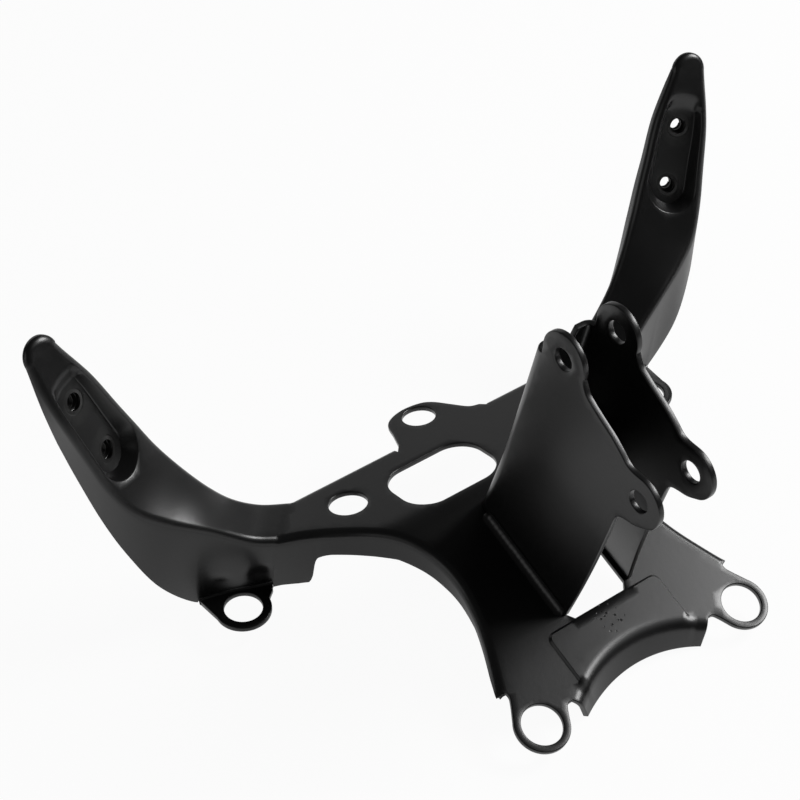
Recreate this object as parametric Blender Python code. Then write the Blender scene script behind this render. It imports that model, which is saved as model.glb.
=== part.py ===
"""Motorcycle fairing stay: a pressed steel plate with two horns, and a headstock bracket welded on it.

Frame: +X to the rider's side with the right horn, +Y towards the crossmember's rear edge, +Z up.
The origin is at mid width and mid length of the stay, level with the surface it rests on, and the
sizes below are measured from the line between the two front eyelets.
All sizes below are in millimetres, and the meshes are made in metres.
"""
import math

import bmesh
import bpy
import numpy as np
from mathutils import Vector
from mathutils.geometry import delaunay_2d_cdt

MM = 0.001
ORIGIN = (0.0, 95.0, -9.225)  # the frame's origin: mid length and mid width, where the stay rests
SEAT_GAP = 0.3              # clearance left between pieces that touch

# Stay plate: the sheet and its profile, a shallow roof with a rounded crest
SHEET = 2.8
FRONT_RISE_DEG = 19.25
REAR_FALL_DEG = 11.3
CREST_Y = 108.8
CREST_Z = 42.75
CREST_RADIUS = 40.0
BEND_INSET = 4.8            # how far from a crease the rounding of a flange starts
HORN_INSET = 3.6            # the same, up the horns

# Crossmember and its openings
REAR_EDGE_Y = 170.3
LUG_X = 4.2                 # centre of the rear lug's hole
LUG_Y = 184.4
LUG_BORE = 18.0
LUG_OUTLINE = (             # round the lug from its right root, measured from the hole's centre
    (30.0, -14.1), (24.6, -11.6), (19.2, -2.8), (14.2, 5.4), (8.6, 9.8), (-1.2, 11.6), (-10.4, 9.8),
    (-16.8, 5.0), (-20.0, -4.0), (-24.0, -14.1),
)
SLOT_CENTRE = (-19.3, 134.0)
SLOT_SIZE = (56.0, 38.0)
SLOT_CORNER = 15.0
PORT_X = 69.0
PORT_Y = 147.1
PORT_BORE = 20.0

# Front eyelets, legs and front band
EYELET_X = 64.6
EYELET_Y = -2.0
EYELET_BORE = 20.8
EYELET_RADIUS = 14.1
LEG_CORNER = (72.2, 19.6)
LEG_NECK = ((68.0, 16.6), (69.8, 14.1))           # hollow between the leg's corner and the eyelet
LIP_NECK = ((48.3, -3.7), (45.0, -2.7))           # hollow between the eyelet and the front lip
PAD_HALF_WIDTH = 35.0
PAD_FRONT_Y = 7.5
PAD_REAR_Y = 31.0
PAD_RISE = 2.0
PAD_SLOPE = 3.5
WINDOW_HALF_WIDTH = 18.6
WINDOW_FRONT_Y = 32.0
WINDOW_REAR_Y = 86.0
WINDOW_CHAMFER = 2.6
LIP_HALF_WIDTH = 41.0
LIP_CREASE_Y = 10.5
LIP_CREASE_END_Y = -3.4
LIP_FOOT_Y = 4.2
LIP_FOOT_END_Y = -4.0
LIP_FOOT_HALF_WIDTH = 36.8
LIP_FOOT_Z = -4.0
LIP_FOOT_END_Z = -8.6

# Front edge of the crossmember and of the legs, from the horn root to the leg corner:
# x and y of the crease, height of the flange's foot, and how far the foot leans out
FRONT_EDGE = (
    (103.7, 142.0, 0.6, -2.6), (99.6, 139.5, 1.4, -2.2), (98.2, 138.6, 5.8, -1.8), (97.2, 137.9, 14.6, -1.2),
    (95.6, 136.8, 19.8, -1.0), (90.0, 132.6, 23.2, 0.0), (77.9, 121.5, 24.3, 0.0), (66.9, 107.6, 26.0, 0.0),
    (60.2, 95.0, 23.6, 0.0), (57.0, 83.0, 20.8, 0.0), (56.8, 70.5, 19.0, 0.0), (59.6, 55.9, 16.8, 0.0),
    (63.3, 43.5, 13.6, 0.8), (68.6, 29.5, 10.4, 1.8),
)
LEG_END_FOOT = 9.0
LEG_END_LEAN = 2.4
LEG_END_INSET = 3.2

# Horn: stations from the root to the tip, as inner edge and outer edge of its web
HORN_STATIONS = (
    ((88.0, 170.3), (113.0, 146.3)),
    ((103.6, 173.9, 35.8), (124.7, 149.8, 39.7)),
    ((117.6, 176.2, 45.8), (136.0, 153.0, 47.6)),
    ((129.2, 177.6, 59.1), (149.5, 155.6, 57.8)),
    ((140.6, 181.0, 75.3), (165.8, 160.0, 68.6)),
    ((150.7, 185.9, 91.8), (178.8, 164.6, 79.8)),
    ((158.4, 189.9, 107.7), (187.4, 170.6, 95.0)),
    ((164.8, 193.2, 121.2), (193.4, 176.6, 113.5)),
    ((171.7, 196.9, 136.4), (198.8, 182.1, 130.3)),
    ((179.9, 199.9, 152.5), (203.8, 189.0, 147.3)),
    ((186.7, 201.7, 165.2), (207.5, 195.3, 161.3)),
    ((190.4, 202.5, 172.6), (209.1, 198.5, 169.2)),
)
HORN_TIP_RADIUS = 9.5
HORN_TIP_TAPER = 30.0       # length over which the web narrows to that radius
HORN_INSET_LENGTH = 60.0    # length over which the bends get tighter

# Lower edge of the deep outer flange, one point for each station that has its own
FLANGE_FOOT = (
    (113.5, 150.3, 0.0), (125.5, 155.0, 0.0), (137.0, 159.4, 0.0), (151.0, 162.8, 2.0),
    (170.0, 163.6, 24.5), (182.6, 168.4, 50.5), (190.4, 175.0, 73.0), (196.4, 183.0, 97.5),
    (201.0, 189.5, 119.0), (205.8, 194.8, 139.5), (208.9, 199.2, 156.5),
)
REAR_FLANGE_DEPTH = (6.0, 7.0, 8.0, 9.0, 9.6, 9.4, 8.2, 7.2, 6.4, 5.6, 4.6)
REAR_FLANGE_TURN = 45.0     # length over which it turns from upright to square with the web
TIP_RIM = 3.0

# Outer ears, bent forward from the foot of the outer flange
EAR_X = 135.0
EAR_Y = 145.6
EAR_RADIUS = 14.3
EAR_BORE = 19.4
EAR_TOP_Z = 2.8
EAR_BEND = 1.6

# Mirror pads pressed into the horns, each with two screw holes backed by weld nuts
SCREW_STATIONS = (109.3, 142.0)
SCREW_BORE = 7.6
PAD_DEPTH = 7.2             # at the lower screw
PAD_TILT = 0.07             # how fast it gets shallower up the horn
PAD_WALL = 5.0              # width of its wall at the lower screw
PAD_TOP = 161.0
PAD_RAMP = 10.0
NUT_WIDTH = 12.0
NUT_HEIGHT = 6.0
NUT_BORE = 7.0

# Headstock bracket: a U folded from thicker plate, standing on the plate's front slope
WALL = 3.2
WALL_HALF_WIDTH = 17.5
BRACKET_X = 1.5             # the bracket sits a little right of the middle
WALL_FOOT_SPREAD = 4.7
SPREAD_HEIGHT = 60.0
UPPER_HOLE = (53.8, 165.8)
LOWER_HOLE = (-0.9, 120.4)
HOLE_BORE = 11.4
LOBE_RADIUS = 14.0
FOLD_RADIUS = 6.0
WEB_TOP = (73.2, 165.0)
WEB_FOOT_Y = 103.6
FOLD_DROP = 5.3             # from the upper hole down to the web's two top corners
WEB_CUT_DEPTH = 9.0         # the cut between those corners
WEB_CUT_HALF_WIDTH = 7.4
WEB_CUT_SLOPE = 2.4
WAIST = (                   # hollow of the wall's front edge between the two lobes
    (37.6, 156.4), (33.4, 153.0), (27.4, 149.2), (19.0, 144.3), (12.8, 139.6), (8.6, 136.0), (4.6, 134.6),
)
THROAT = ((-0.6, 104.9), (5.4, 103.9), (9.2, 102.9), (11.6, 101.0), (13.2, 97.2))  # under the lower lobe
FOOT_FRONT_Y = 35.0

# Weld beads along the foot of the bracket
BEAD_LEG = 4.2
BEAD_START_Y = 36.0
BEAD_END_Y = 97.0

FINE = 1                    # how many times finer than the plain mesh
GRID = 12.0 / FINE          # spacing of the inner points of a sheet
RING = 24 * FINE            # points round a bore
ARC = 3 * FINE              # facets round a bend
SPAN = 4 * FINE             # facets between two stations of a horn

PAINT = (0.018, 0.018, 0.019, 1.0)
ZINC = (0.42, 0.42, 0.40, 1.0)


def paint_material(name, colour, roughness, metallic):
    """One Principled material."""
    material = bpy.data.materials.new(name)
    material.use_nodes = True
    shader = material.node_tree.nodes["Principled BSDF"]
    shader.inputs["Base Color"].default_value = colour
    shader.inputs["Roughness"].default_value = roughness
    shader.inputs["Metallic"].default_value = metallic
    return material


def add_object(name, bm, material, smooth_deg=32.0):
    """Turns a bmesh in millimetres into a named object in metres."""
    bmesh.ops.translate(bm, vec=-Vector(ORIGIN), verts=bm.verts)
    bmesh.ops.scale(bm, vec=(MM, MM, MM), verts=bm.verts)
    mesh = bpy.data.meshes.new(name)
    bm.to_mesh(mesh)
    bm.free()
    mesh.materials.append(material)
    mesh.shade_smooth()
    mesh.set_sharp_from_angle(angle=math.radians(smooth_deg))
    obj = bpy.data.objects.new(name, mesh)
    bpy.context.collection.objects.link(obj)
    return obj


class Profile:
    """The plate's side view: a rising front slope, a rounded crest and a falling rear slope."""

    def __init__(self):
        self.front = math.radians(FRONT_RISE_DEG)
        self.rear = -math.radians(REAR_FALL_DEG)
        tangent = CREST_RADIUS * math.tan((self.front - self.rear) / 2)
        self.y_start = CREST_Y - tangent * math.cos(self.front)
        self.z_start = CREST_Z - tangent * math.sin(self.front)
        self.y_end = CREST_Y + tangent * math.cos(self.rear)
        self.z_end = CREST_Z + tangent * math.sin(self.rear)
        self.centre_y = self.y_start + CREST_RADIUS * math.sin(self.front)
        self.centre_z = self.z_start - CREST_RADIUS * math.cos(self.front)
        self.s_start = self.y_start / math.cos(self.front)
        self.s_end = self.s_start + CREST_RADIUS * (self.front - self.rear)

    def at(self, s):
        """Height line at distance s along the sheet: y, z and slope angle."""
        if s <= self.s_start:
            back = s - self.s_start
            return (self.y_start + back * math.cos(self.front),
                    self.z_start + back * math.sin(self.front), self.front)
        if s >= self.s_end:
            on = s - self.s_end
            return (self.y_end + on * math.cos(self.rear),
                    self.z_end + on * math.sin(self.rear), self.rear)
        slope = self.front - (s - self.s_start) / CREST_RADIUS
        return (self.centre_y - CREST_RADIUS * math.sin(slope),
                self.centre_z + CREST_RADIUS * math.cos(slope), slope)

    def along(self, y):
        """Distance along the sheet at which it reaches y."""
        if y <= self.y_start:
            return self.s_start + (y - self.y_start) / math.cos(self.front)
        if y >= self.y_end:
            return self.s_end + (y - self.y_end) / math.cos(self.rear)
        slope = math.asin((self.centre_y - y) / CREST_RADIUS)
        return self.s_start + CREST_RADIUS * (self.front - slope)

    def height(self, y):
        """Height of the sheet's upper face at y."""
        return self.at(self.along(y))[1]


PROFILE = Profile()
UP = (np.array((0.0, 0.0, 1.0)),)


def smooth_step(value):
    value = min(max(value, 0.0), 1.0)
    return value * value * (3.0 - 2.0 * value)


def spline(points, per_span):
    """A Catmull-Rom curve through the points, with every given point kept on it."""
    pts = [np.array(p, float) for p in points]
    pts = [2 * pts[0] - pts[1]] + pts + [2 * pts[-1] - pts[-2]]
    out = []
    for i in range(1, len(pts) - 2):
        a, b, c, d = pts[i - 1], pts[i], pts[i + 1], pts[i + 2]
        for k in range(per_span):
            t = k / per_span
            out.append(0.5 * ((2 * b) + (c - a) * t + (2 * a - 5 * b + 4 * c - d) * t * t
                              + (3 * b - a - 3 * c + d) * t ** 3))
    out.append(pts[-2])
    return out


def circle(centre, radius, count, start=0.0, end=2 * math.pi, closed=True):
    """Points on an arc in the plane of the sheet."""
    steps = count if closed else count - 1
    return [np.array((centre[0] + radius * math.cos(start + (end - start) * i / steps),
                      centre[1] + radius * math.sin(start + (end - start) * i / steps)))
            for i in range(count)]


def rounded_rectangle(centre, size, corner, per_corner=6 * FINE + 1):
    """Outline of an opening with round corners."""
    points = []
    for i in range(4):
        sx, sy = ((1, 1), (-1, 1), (-1, -1), (1, -1))[i]
        middle = (centre[0] + sx * (size[0] / 2 - corner), centre[1] + sy * (size[1] / 2 - corner))
        points += circle(middle, corner, per_corner, i * math.pi / 2, (i + 1) * math.pi / 2, closed=False)
    return points


def inset_line(points, distance):
    """Moves an open line of points to its left by a distance."""
    moved = []
    for i, point in enumerate(points):
        before = points[max(i - 1, 0)]
        after = points[min(i + 1, len(points) - 1)]
        run = np.array(after[:2], float) - np.array(before[:2], float)
        run /= np.linalg.norm(run)
        moved.append(np.array(point[:2], float) + distance * np.array((-run[1], run[0])))
    return moved


def inside(point, loop):
    """Whether a point lies inside a closed outline."""
    x, y = point
    hit = False
    j = len(loop) - 1
    for i in range(len(loop)):
        xi, yi = loop[i]
        xj, yj = loop[j]
        if (yi > y) != (yj > y) and x < (xj - xi) * (y - yi) / (yj - yi) + xi:
            hit = not hit
        j = i
    return hit


def distance_to(point, loop):
    """Distance from a point to a closed outline."""
    a = np.array(loop)
    b = np.roll(a, -1, axis=0)
    run = b - a
    length = (run ** 2).sum(1)
    t = np.clip(((point - a) * run).sum(1) / np.maximum(length, 1e-9), 0, 1)
    return float(np.sqrt(((a + run * t[:, None] - point) ** 2).sum(1)).min())


def unit(vector):
    return vector / np.linalg.norm(vector)


def new_point(bm, pair):
    """A point of the sheet's front, with the point behind it on the sheet's back."""
    vertex = bm.verts.new(pair[0])
    vertex[bm.verts.layers.float_vector["back"]] = pair[1]
    return vertex


def new_sheet():
    bm = bmesh.new()
    bm.verts.layers.float_vector.new("back")
    return bm


def fill_sheet(outline, openings, mapping, bm, spacing=GRID, guides=()):
    """Fills an outline with openings in the flat, and sets every point in space with the mapping."""
    loops = [outline] + list(openings)
    points, edges, faces = [], [], []
    for loop in loops:
        ring = list(range(len(points), len(points) + len(loop)))
        points += [tuple(p) for p in loop]
        edges += [(ring[i], ring[(i + 1) % len(ring)]) for i in range(len(ring))]
        faces.append(ring)
    for line in guides:
        start = len(points)
        points += [tuple(p) for p in line]
        edges += [(start + i, start + i + 1) for i in range(len(line) - 1)]
    low = np.min(np.array(outline), axis=0)
    high = np.max(np.array(outline), axis=0)
    guide_points = [np.array(p) for line in guides for p in line]
    row = 0
    y = low[1] + spacing / 2
    while y < high[1]:
        x = low[0] + spacing / 2 + (spacing / 2 if row % 2 else 0)
        while x < high[0]:
            p = np.array((x, y))
            clear = inside(p, outline) and not any(inside(p, o) for o in openings)
            clear = clear and all(distance_to(p, loop) > spacing * 0.45 for loop in loops)
            if clear and all(np.linalg.norm(p - g) > spacing * 0.4 for g in guide_points):
                points.append((x, y))
            x += spacing
        y += spacing * 0.87
        row += 1
    flat = [Vector(p) for p in points]
    verts, _, tris, _, _, _ = delaunay_2d_cdt(flat, edges, faces, 2, 1e-5)
    made = {}
    for tri in tris:
        middle = sum((np.array(verts[i]) for i in tri), np.zeros(2)) / len(tri)
        if any(inside(middle, o) for o in openings):
            continue
        for i in tri:
            if i not in made:
                made[i] = new_point(bm, mapping(verts[i].x, verts[i].y))
        bm.faces.new([made[i] for i in tri])


def strip(bm, rows):
    """Joins rows of points with quads."""
    made = [[new_point(bm, pair) for pair in row] for row in rows]
    for a, b in zip(made, made[1:]):
        for i in range(len(a) - 1):
            bm.faces.new((a[i], a[i + 1], b[i + 1], b[i]))


def turned(start, end, share):
    """A direction between two others, by its share of the angle."""
    angle = math.acos(min(max(float(start.dot(end)), -1.0), 1.0))
    if angle < 1e-4:
        return start
    return unit(start * math.sin((1 - share) * angle) + end * math.sin(share * angle))


def bend_rows(edges, creases, feet, up, arc=ARC, drop=1):
    """Rows of a flange, front and back: from the plate's edge round the bend and down to the foot."""
    rows = [[] for _ in range(arc + 1 + drop)]
    count = len(creases)
    for i, (edge, crease, foot) in enumerate(zip(edges, creases, feet)):
        edge, crease, foot = (np.array(p, float) for p in (edge, crease, foot))
        along = unit(np.array(creases[min(i + 1, count - 1)]) - np.array(creases[max(i - 1, 0)]))
        leg = np.linalg.norm(edge - crease)
        fall = foot - crease
        turn = crease + unit(fall) * min(leg, 0.8 * np.linalg.norm(fall))
        first = unit(np.cross(along, edge - crease))
        side = 1.0 if first.dot(np.array(up[i] if len(up) > 1 else up[0])) > 0 else -1.0
        first = first * side
        last = unit(np.cross(along, fall)) * -side
        opening = math.acos(float(unit(edge - crease).dot(unit(fall))))
        weight = math.sin(opening / 2)
        for k in range(arc + 1):
            t = k / arc
            parts = ((1 - t) ** 2, 2 * t * (1 - t) * weight, t * t)
            front = (edge * parts[0] + crease * parts[1] + turn * parts[2]) / sum(parts)
            rows[k].append((front, front - turned(first, last, t) * SHEET))
        for k in range(drop):
            front = turn + (foot - turn) * (k + 1) / drop
            rows[arc + 1 + k].append((front, front - last * SHEET))
    return rows


def thicken(bm):
    """Closes the sheet into a solid: a partner behind every point, and a rim on every open edge."""
    layer = bm.verts.layers.float_vector["back"]
    fronts = list(bm.faces)
    rims = [edge.link_loops[0] for edge in bm.edges if len(edge.link_faces) == 1]
    rims = [(loop.vert, loop.link_loop_next.vert) for loop in rims]
    partner = {vertex: bm.verts.new(vertex[layer]) for vertex in list(bm.verts)}
    for face in fronts:
        bm.faces.new([partner[vertex] for vertex in reversed(face.verts)])
    for a, b in rims:
        bm.faces.new((b, a, partner[a], partner[b]))
    bmesh.ops.recalc_face_normals(bm, faces=bm.faces)


def add_copy(bm, sheet, side):
    """Copies a sheet into another one, mirrored to the other side where side is -1."""
    source = sheet.verts.layers.float_vector["back"]
    flip = Vector((side, 1.0, 1.0))
    made = {v: new_point(bm, (v.co * flip, v[source] * flip)) for v in sheet.verts}
    for face in sheet.faces:
        corners = [made[v] for v in face.verts]
        bm.faces.new(corners[::-1] if side < 0 else corners)


def rolled_back(relief, x, y):
    """Level of the sheet's back: the envelope of balls of the sheet's thickness on the front relief."""
    rings, around = 3, 10
    low = relief(x, y) - SHEET
    for i in range(1, rings + 1):
        reach = SHEET * i / rings
        sink = math.sqrt(SHEET ** 2 - reach ** 2)
        for k in range(around):
            a = 2 * math.pi * k / around
            low = min(low, relief(x + reach * math.cos(a), y + reach * math.sin(a)) - sink)
    return low


def pad_rise(x, s):
    """How far the front band's pad is pressed up at a point."""
    side = smooth_step((PAD_HALF_WIDTH + PAD_SLOPE / 2 - abs(x)) / PAD_SLOPE)
    rear = smooth_step((PROFILE.along(PAD_REAR_Y) + PAD_SLOPE / 2 - s) / PAD_SLOPE)
    return PAD_RISE * side * rear


def body_at(x, s, level):
    y, z, slope = PROFILE.at(s)
    return np.array((x, y - level * math.sin(slope), z + level * math.cos(slope)))


def body_point(x, s):
    """A point of the plate's upper face."""
    return body_at(x, s, pad_rise(x, s))


def body_pair(x, s):
    """A point of the plate's upper face and the one behind it."""
    return body_point(x, s), body_at(x, s, rolled_back(pad_rise, x, s))


class Horn:
    """The right horn's web: a centre line, a direction across it and a half width at each station."""

    def __init__(self):
        inner, outer = [], []
        for a, b in HORN_STATIONS:
            inner.append(a if len(a) == 3 else (*a, PROFILE.height(a[1])))
            outer.append(b if len(b) == 3 else (*b, PROFILE.height(b[1])))
        self.inner = np.array(spline(inner, SPAN))
        self.outer = np.array(spline(outer, SPAN))
        self.centre = (self.inner + self.outer) / 2
        steps = np.linalg.norm(np.diff(self.centre, axis=0), axis=1)
        self.length = np.concatenate(([0.0], np.cumsum(steps)))
        self.half = np.linalg.norm(self.outer - self.inner, axis=1) / 2
        self.across = (self.outer - self.inner) / (2 * self.half[:, None])
        self.tip = self.length[-1]

    def value(self, table, u):
        return np.array([np.interp(u, self.length, table[:, k]) for k in range(table.shape[1])])

    def frame(self, u):
        """Centre, direction across and outward normal at a distance u from the root."""
        centre = self.value(self.centre, u)
        across = self.value(self.across, u)
        across /= np.linalg.norm(across)
        ahead = self.value(self.centre, min(u + 2.0, self.tip)) - self.value(self.centre, max(u - 2.0, 0.0))
        normal = np.cross(ahead, across)
        normal /= np.linalg.norm(normal)
        if normal[2] < 0:
            normal = -normal
        return centre, across, normal

    def half_width(self, u):
        """The web's half width, drawn in smoothly to the radius of the tip."""
        end = self.tip - HORN_TIP_RADIUS
        plain = float(np.interp(u, self.length, self.half))
        last = float(np.interp(end, self.length, self.half))
        return plain + (HORN_TIP_RADIUS - last) * smooth_step((u - end) / HORN_TIP_TAPER + 1.0)

    def inset(self, u):
        """The bend is wide at the root, as on the crossmember, and tighter up the horn."""
        return BEND_INSET + (HORN_INSET - BEND_INSET) * smooth_step(u / HORN_INSET_LENGTH)

    def flat_half(self, u):
        """Half width of the web between the bends of its two flanges."""
        return self.half_width(u) - self.inset(u)

    def pad_floor(self, u):
        """Depth of the mirror pad's floor, which gets shallower up the horn."""
        return PAD_DEPTH - PAD_TILT * (u - SCREW_STATIONS[0])

    def pad_wall(self, u):
        """Width of the pad's wall, in step with its depth."""
        return PAD_WALL * self.pad_floor(u) / PAD_DEPTH

    def depth(self, u, w):
        """How far the mirror pad is pressed in at a point."""
        foot = SCREW_STATIONS[0]
        reach = self.flat_half(u) - abs(w)
        if u < foot:
            reach = self.flat_half(foot) - math.hypot(u - foot, w)
        level = self.pad_floor(u) * smooth_step(reach / self.pad_wall(u))
        return level * smooth_step((PAD_TOP - u) / PAD_RAMP)

    def at(self, u, w, level):
        centre, across, normal = self.frame(u)
        return centre + across * w + normal * level

    def relief(self, u, w):
        return -self.depth(u, w)

    def point(self, u, w):
        """A point of the web's front face."""
        return self.at(u, w, self.relief(u, w))

    def pair(self, u, w):
        """A point of the web's front face and the one behind it."""
        return self.point(u, w), self.at(u, w, rolled_back(self.relief, u, w))


HORN = Horn()


def mirrored(points):
    """The same points on the other side of the symmetry plane."""
    return [np.array((-p[0], *p[1:])) for p in points]


def lug_outline():
    """Rear lug, from its right root round to its left root, in the flat."""
    marks = [np.array((LUG_X + x, PROFILE.along(LUG_Y) + s)) for x, s in LUG_OUTLINE]
    marks[0][1] = marks[-1][1] = PROFILE.along(REAR_EDGE_Y)
    return spline(marks, 2 * FINE)


def lip_arc(y_middle, y_end, half_width):
    """An arc across the front band, from the right end to the left end."""
    count = 18 * FINE + 1
    rise = y_middle - y_end
    radius = (half_width ** 2 + rise ** 2) / (2 * rise)
    half = math.asin(half_width / radius)
    return [np.array((radius * math.sin(a), y_middle - radius + radius * math.cos(a)))
            for a in (half - 2 * half * i / (count - 1) for i in range(count))]


def front_edge_chain():
    """The right side's front crease in the flat, with the height and the lean of the flange's foot."""
    start = HORN_STATIONS[0][1]
    marks = [(start[0], start[1], FLANGE_FOOT[0][2], -4.0), *FRONT_EDGE,
             (*LEG_CORNER, LEG_END_FOOT, LEG_END_LEAN)]
    line = spline([(x, PROFILE.along(y)) for x, y, _, _ in marks], 2 * FINE)
    steps = np.arange(len(line)) / (2 * FINE)
    known = np.arange(len(marks))
    foot = np.interp(steps, known, [m[2] for m in marks])
    lean = np.interp(steps, known, [m[3] for m in marks])
    return line, foot, lean


def build_body(bm):
    """The plate between the horns, with the flanges along its front, its legs and its rear edge."""
    along = PROFILE.along
    creases, foot_z, lean = front_edge_chain()
    count = len(creases)
    taper = [smooth_step((count - 1 - i) / (5.0 * FINE)) for i in range(count)]
    inset = [LEG_END_INSET + (BEND_INSET - LEG_END_INSET) * t for t in taper]
    outward = [o - c for o, c in zip(inset_line(creases, 1.0), creases)]
    edge = [c - o * d for c, o, d in zip(creases, outward, inset)]
    half = HORN.half[0]
    root = [HORN.point(0.0, w) for w in np.linspace(-half + BEND_INSET, half - BEND_INSET, 6 * FINE + 1)]
    root_flat = [np.array((p[0], along(p[1]))) for p in root]
    edge[0] = root_flat[-1]
    crease_points = [body_point(*c) for c in creases]
    crease_points[0] = HORN.point(0.0, half)
    edge_points = [body_point(*e) for e in edge]
    feet = [np.array((c[0] + o[0] * d, c[1] + o[1] * d, z))
            for c, o, d, z in zip(crease_points, outward, lean, foot_z)]
    feet[0] = np.array(FLANGE_FOOT[0])
    eyelet = (EYELET_X, along(EYELET_Y))
    ring = circle(eyelet, EYELET_RADIUS, 19 * FINE + 1, math.radians(66), math.radians(-190), closed=False)
    neck = [np.array((x, along(y))) for x, y in LEG_NECK]
    neck = spline([creases[-1]] + neck + [ring[0]], 2 * FINE)[1:-1]
    lip = [np.array((x, along(y))) for x, y in lip_arc(LIP_CREASE_Y, LIP_CREASE_END_Y, LIP_HALF_WIDTH)]
    lip_edge = inset_line(lip, -BEND_INSET)
    notch = [np.array((x, along(y))) for x, y in LIP_NECK]
    notch = spline([ring[-1]] + notch + [lip_edge[0]], 2 * FINE)[1:-1]
    rear_s = along(REAR_EDGE_Y)
    end_x = root_flat[0][0]
    lug = lug_outline()
    right_rear = [np.array((x, rear_s - BEND_INSET)) for x in
                  np.linspace(lug[0][0] + 4, end_x, 5 * FINE + 1)][:-1]
    left_rear = [np.array((-x, rear_s - BEND_INSET)) for x in
                 np.linspace(end_x, 4 - lug[-1][0], 6 * FINE + 1)][1:]
    side = root_flat + edge[1:] + neck + ring + notch
    outline = right_rear + side + lip_edge + mirrored(side)[::-1] + left_rear + lug[::-1]
    slot = rounded_rectangle((SLOT_CENTRE[0], along(SLOT_CENTRE[1])), SLOT_SIZE, SLOT_CORNER)
    front, rear = along(WINDOW_FRONT_Y), along(WINDOW_REAR_Y)
    window = [np.array(p) for p in (
        (WINDOW_HALF_WIDTH - WINDOW_CHAMFER, front), (WINDOW_HALF_WIDTH, front + WINDOW_CHAMFER + 1),
        (WINDOW_HALF_WIDTH, rear - 6), (WINDOW_HALF_WIDTH - 2, rear - 2), (WINDOW_HALF_WIDTH - 6, rear))]
    window = window + mirrored(window)[::-1]
    openings = [slot, window, circle((LUG_X, along(LUG_Y)), LUG_BORE / 2, RING)]
    for way in (1, -1):
        openings.append(circle((way * PORT_X, along(PORT_Y)), PORT_BORE / 2, RING))
        openings.append(circle((way * EYELET_X, eyelet[1]), EYELET_BORE / 2, RING))
    guides = []
    pad_span = (along(PAD_FRONT_Y), along(PAD_REAR_Y))
    for way in (1, -1):
        for offset in (-PAD_SLOPE / 2, PAD_SLOPE / 2):
            x = way * (PAD_HALF_WIDTH + offset)
            guides.append([np.array((x, s)) for s in np.linspace(*pad_span, 3 * FINE + 1)])
        for offset in (-PAD_SLOPE / 2, PAD_SLOPE / 2):
            guides.append([np.array((way * x, along(PAD_REAR_Y) + offset))
                           for x in np.linspace(WINDOW_HALF_WIDTH + 2, PAD_HALF_WIDTH - 3, 2 * FINE + 1)])
    fill_sheet(outline, openings, body_pair, bm, guides=guides)
    rows = bend_rows(edge_points, crease_points, feet, UP)
    strip(bm, rows)
    strip(bm, mirrored_rows(rows))
    foot = lip_arc(LIP_FOOT_Y, LIP_FOOT_END_Y, LIP_FOOT_HALF_WIDTH)
    fall = LIP_FOOT_Z - LIP_FOOT_END_Z
    foot = [(x, y, LIP_FOOT_Z - fall * (x / LIP_FOOT_HALF_WIDTH) ** 2) for x, y in foot]
    strip(bm, bend_rows([body_point(*p) for p in lip_edge], [body_point(*p) for p in lip], foot, UP))
    fall = np.array((0, 0, REAR_FLANGE_DEPTH[0]))
    inner = HORN.point(0.0, -half)
    top = [body_point(*p) for p in right_rear] + [root[0]]
    corner = [body_at(p[0], rear_s, 0.0) for p in right_rear] + [inner]
    strip(bm, bend_rows(top, corner, [c - fall for c in corner], UP))
    top = mirrored([root[0]]) + [body_point(*p) for p in left_rear]
    corner = mirrored([inner]) + [body_at(p[0], rear_s, 0.0) for p in left_rear]
    strip(bm, bend_rows(top, corner, [c - fall for c in corner], UP))


def mirrored_rows(rows):
    """Rows of front and back points on the other side of the symmetry plane."""
    return [[tuple(mirrored(pair)) for pair in row] for row in rows]


def pad_lines():
    """Lines in the horn's flat along which the mirror pad's wall and ramp start and end."""
    foot = SCREW_STATIONS[0]
    start, stop = math.radians(90), math.radians(270)
    away = math.radians(7)
    radius = HORN.flat_half(foot)
    rim = circle((foot, 0.0), radius, 11 * FINE + 1, start + away, stop - away, closed=False)
    end = circle((foot, 0.0), radius - PAD_WALL, 8 * FINE + 1, start, stop, closed=False)
    side = [(u, HORN.flat_half(u) - HORN.pad_wall(u))
            for u in np.linspace(foot, PAD_TOP - PAD_RAMP, 6 * FINE + 1)[1:]]
    floor = [np.array((u, w)) for u, w in side][::-1] + end + [np.array((u, -w)) for u, w in side]
    wide = HORN.flat_half(PAD_TOP) - 1.5
    ramp = [np.array((PAD_TOP, w)) for w in np.linspace(-wide, wide, 3 * FINE + 1)]
    return [rim, floor, ramp]


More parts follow.
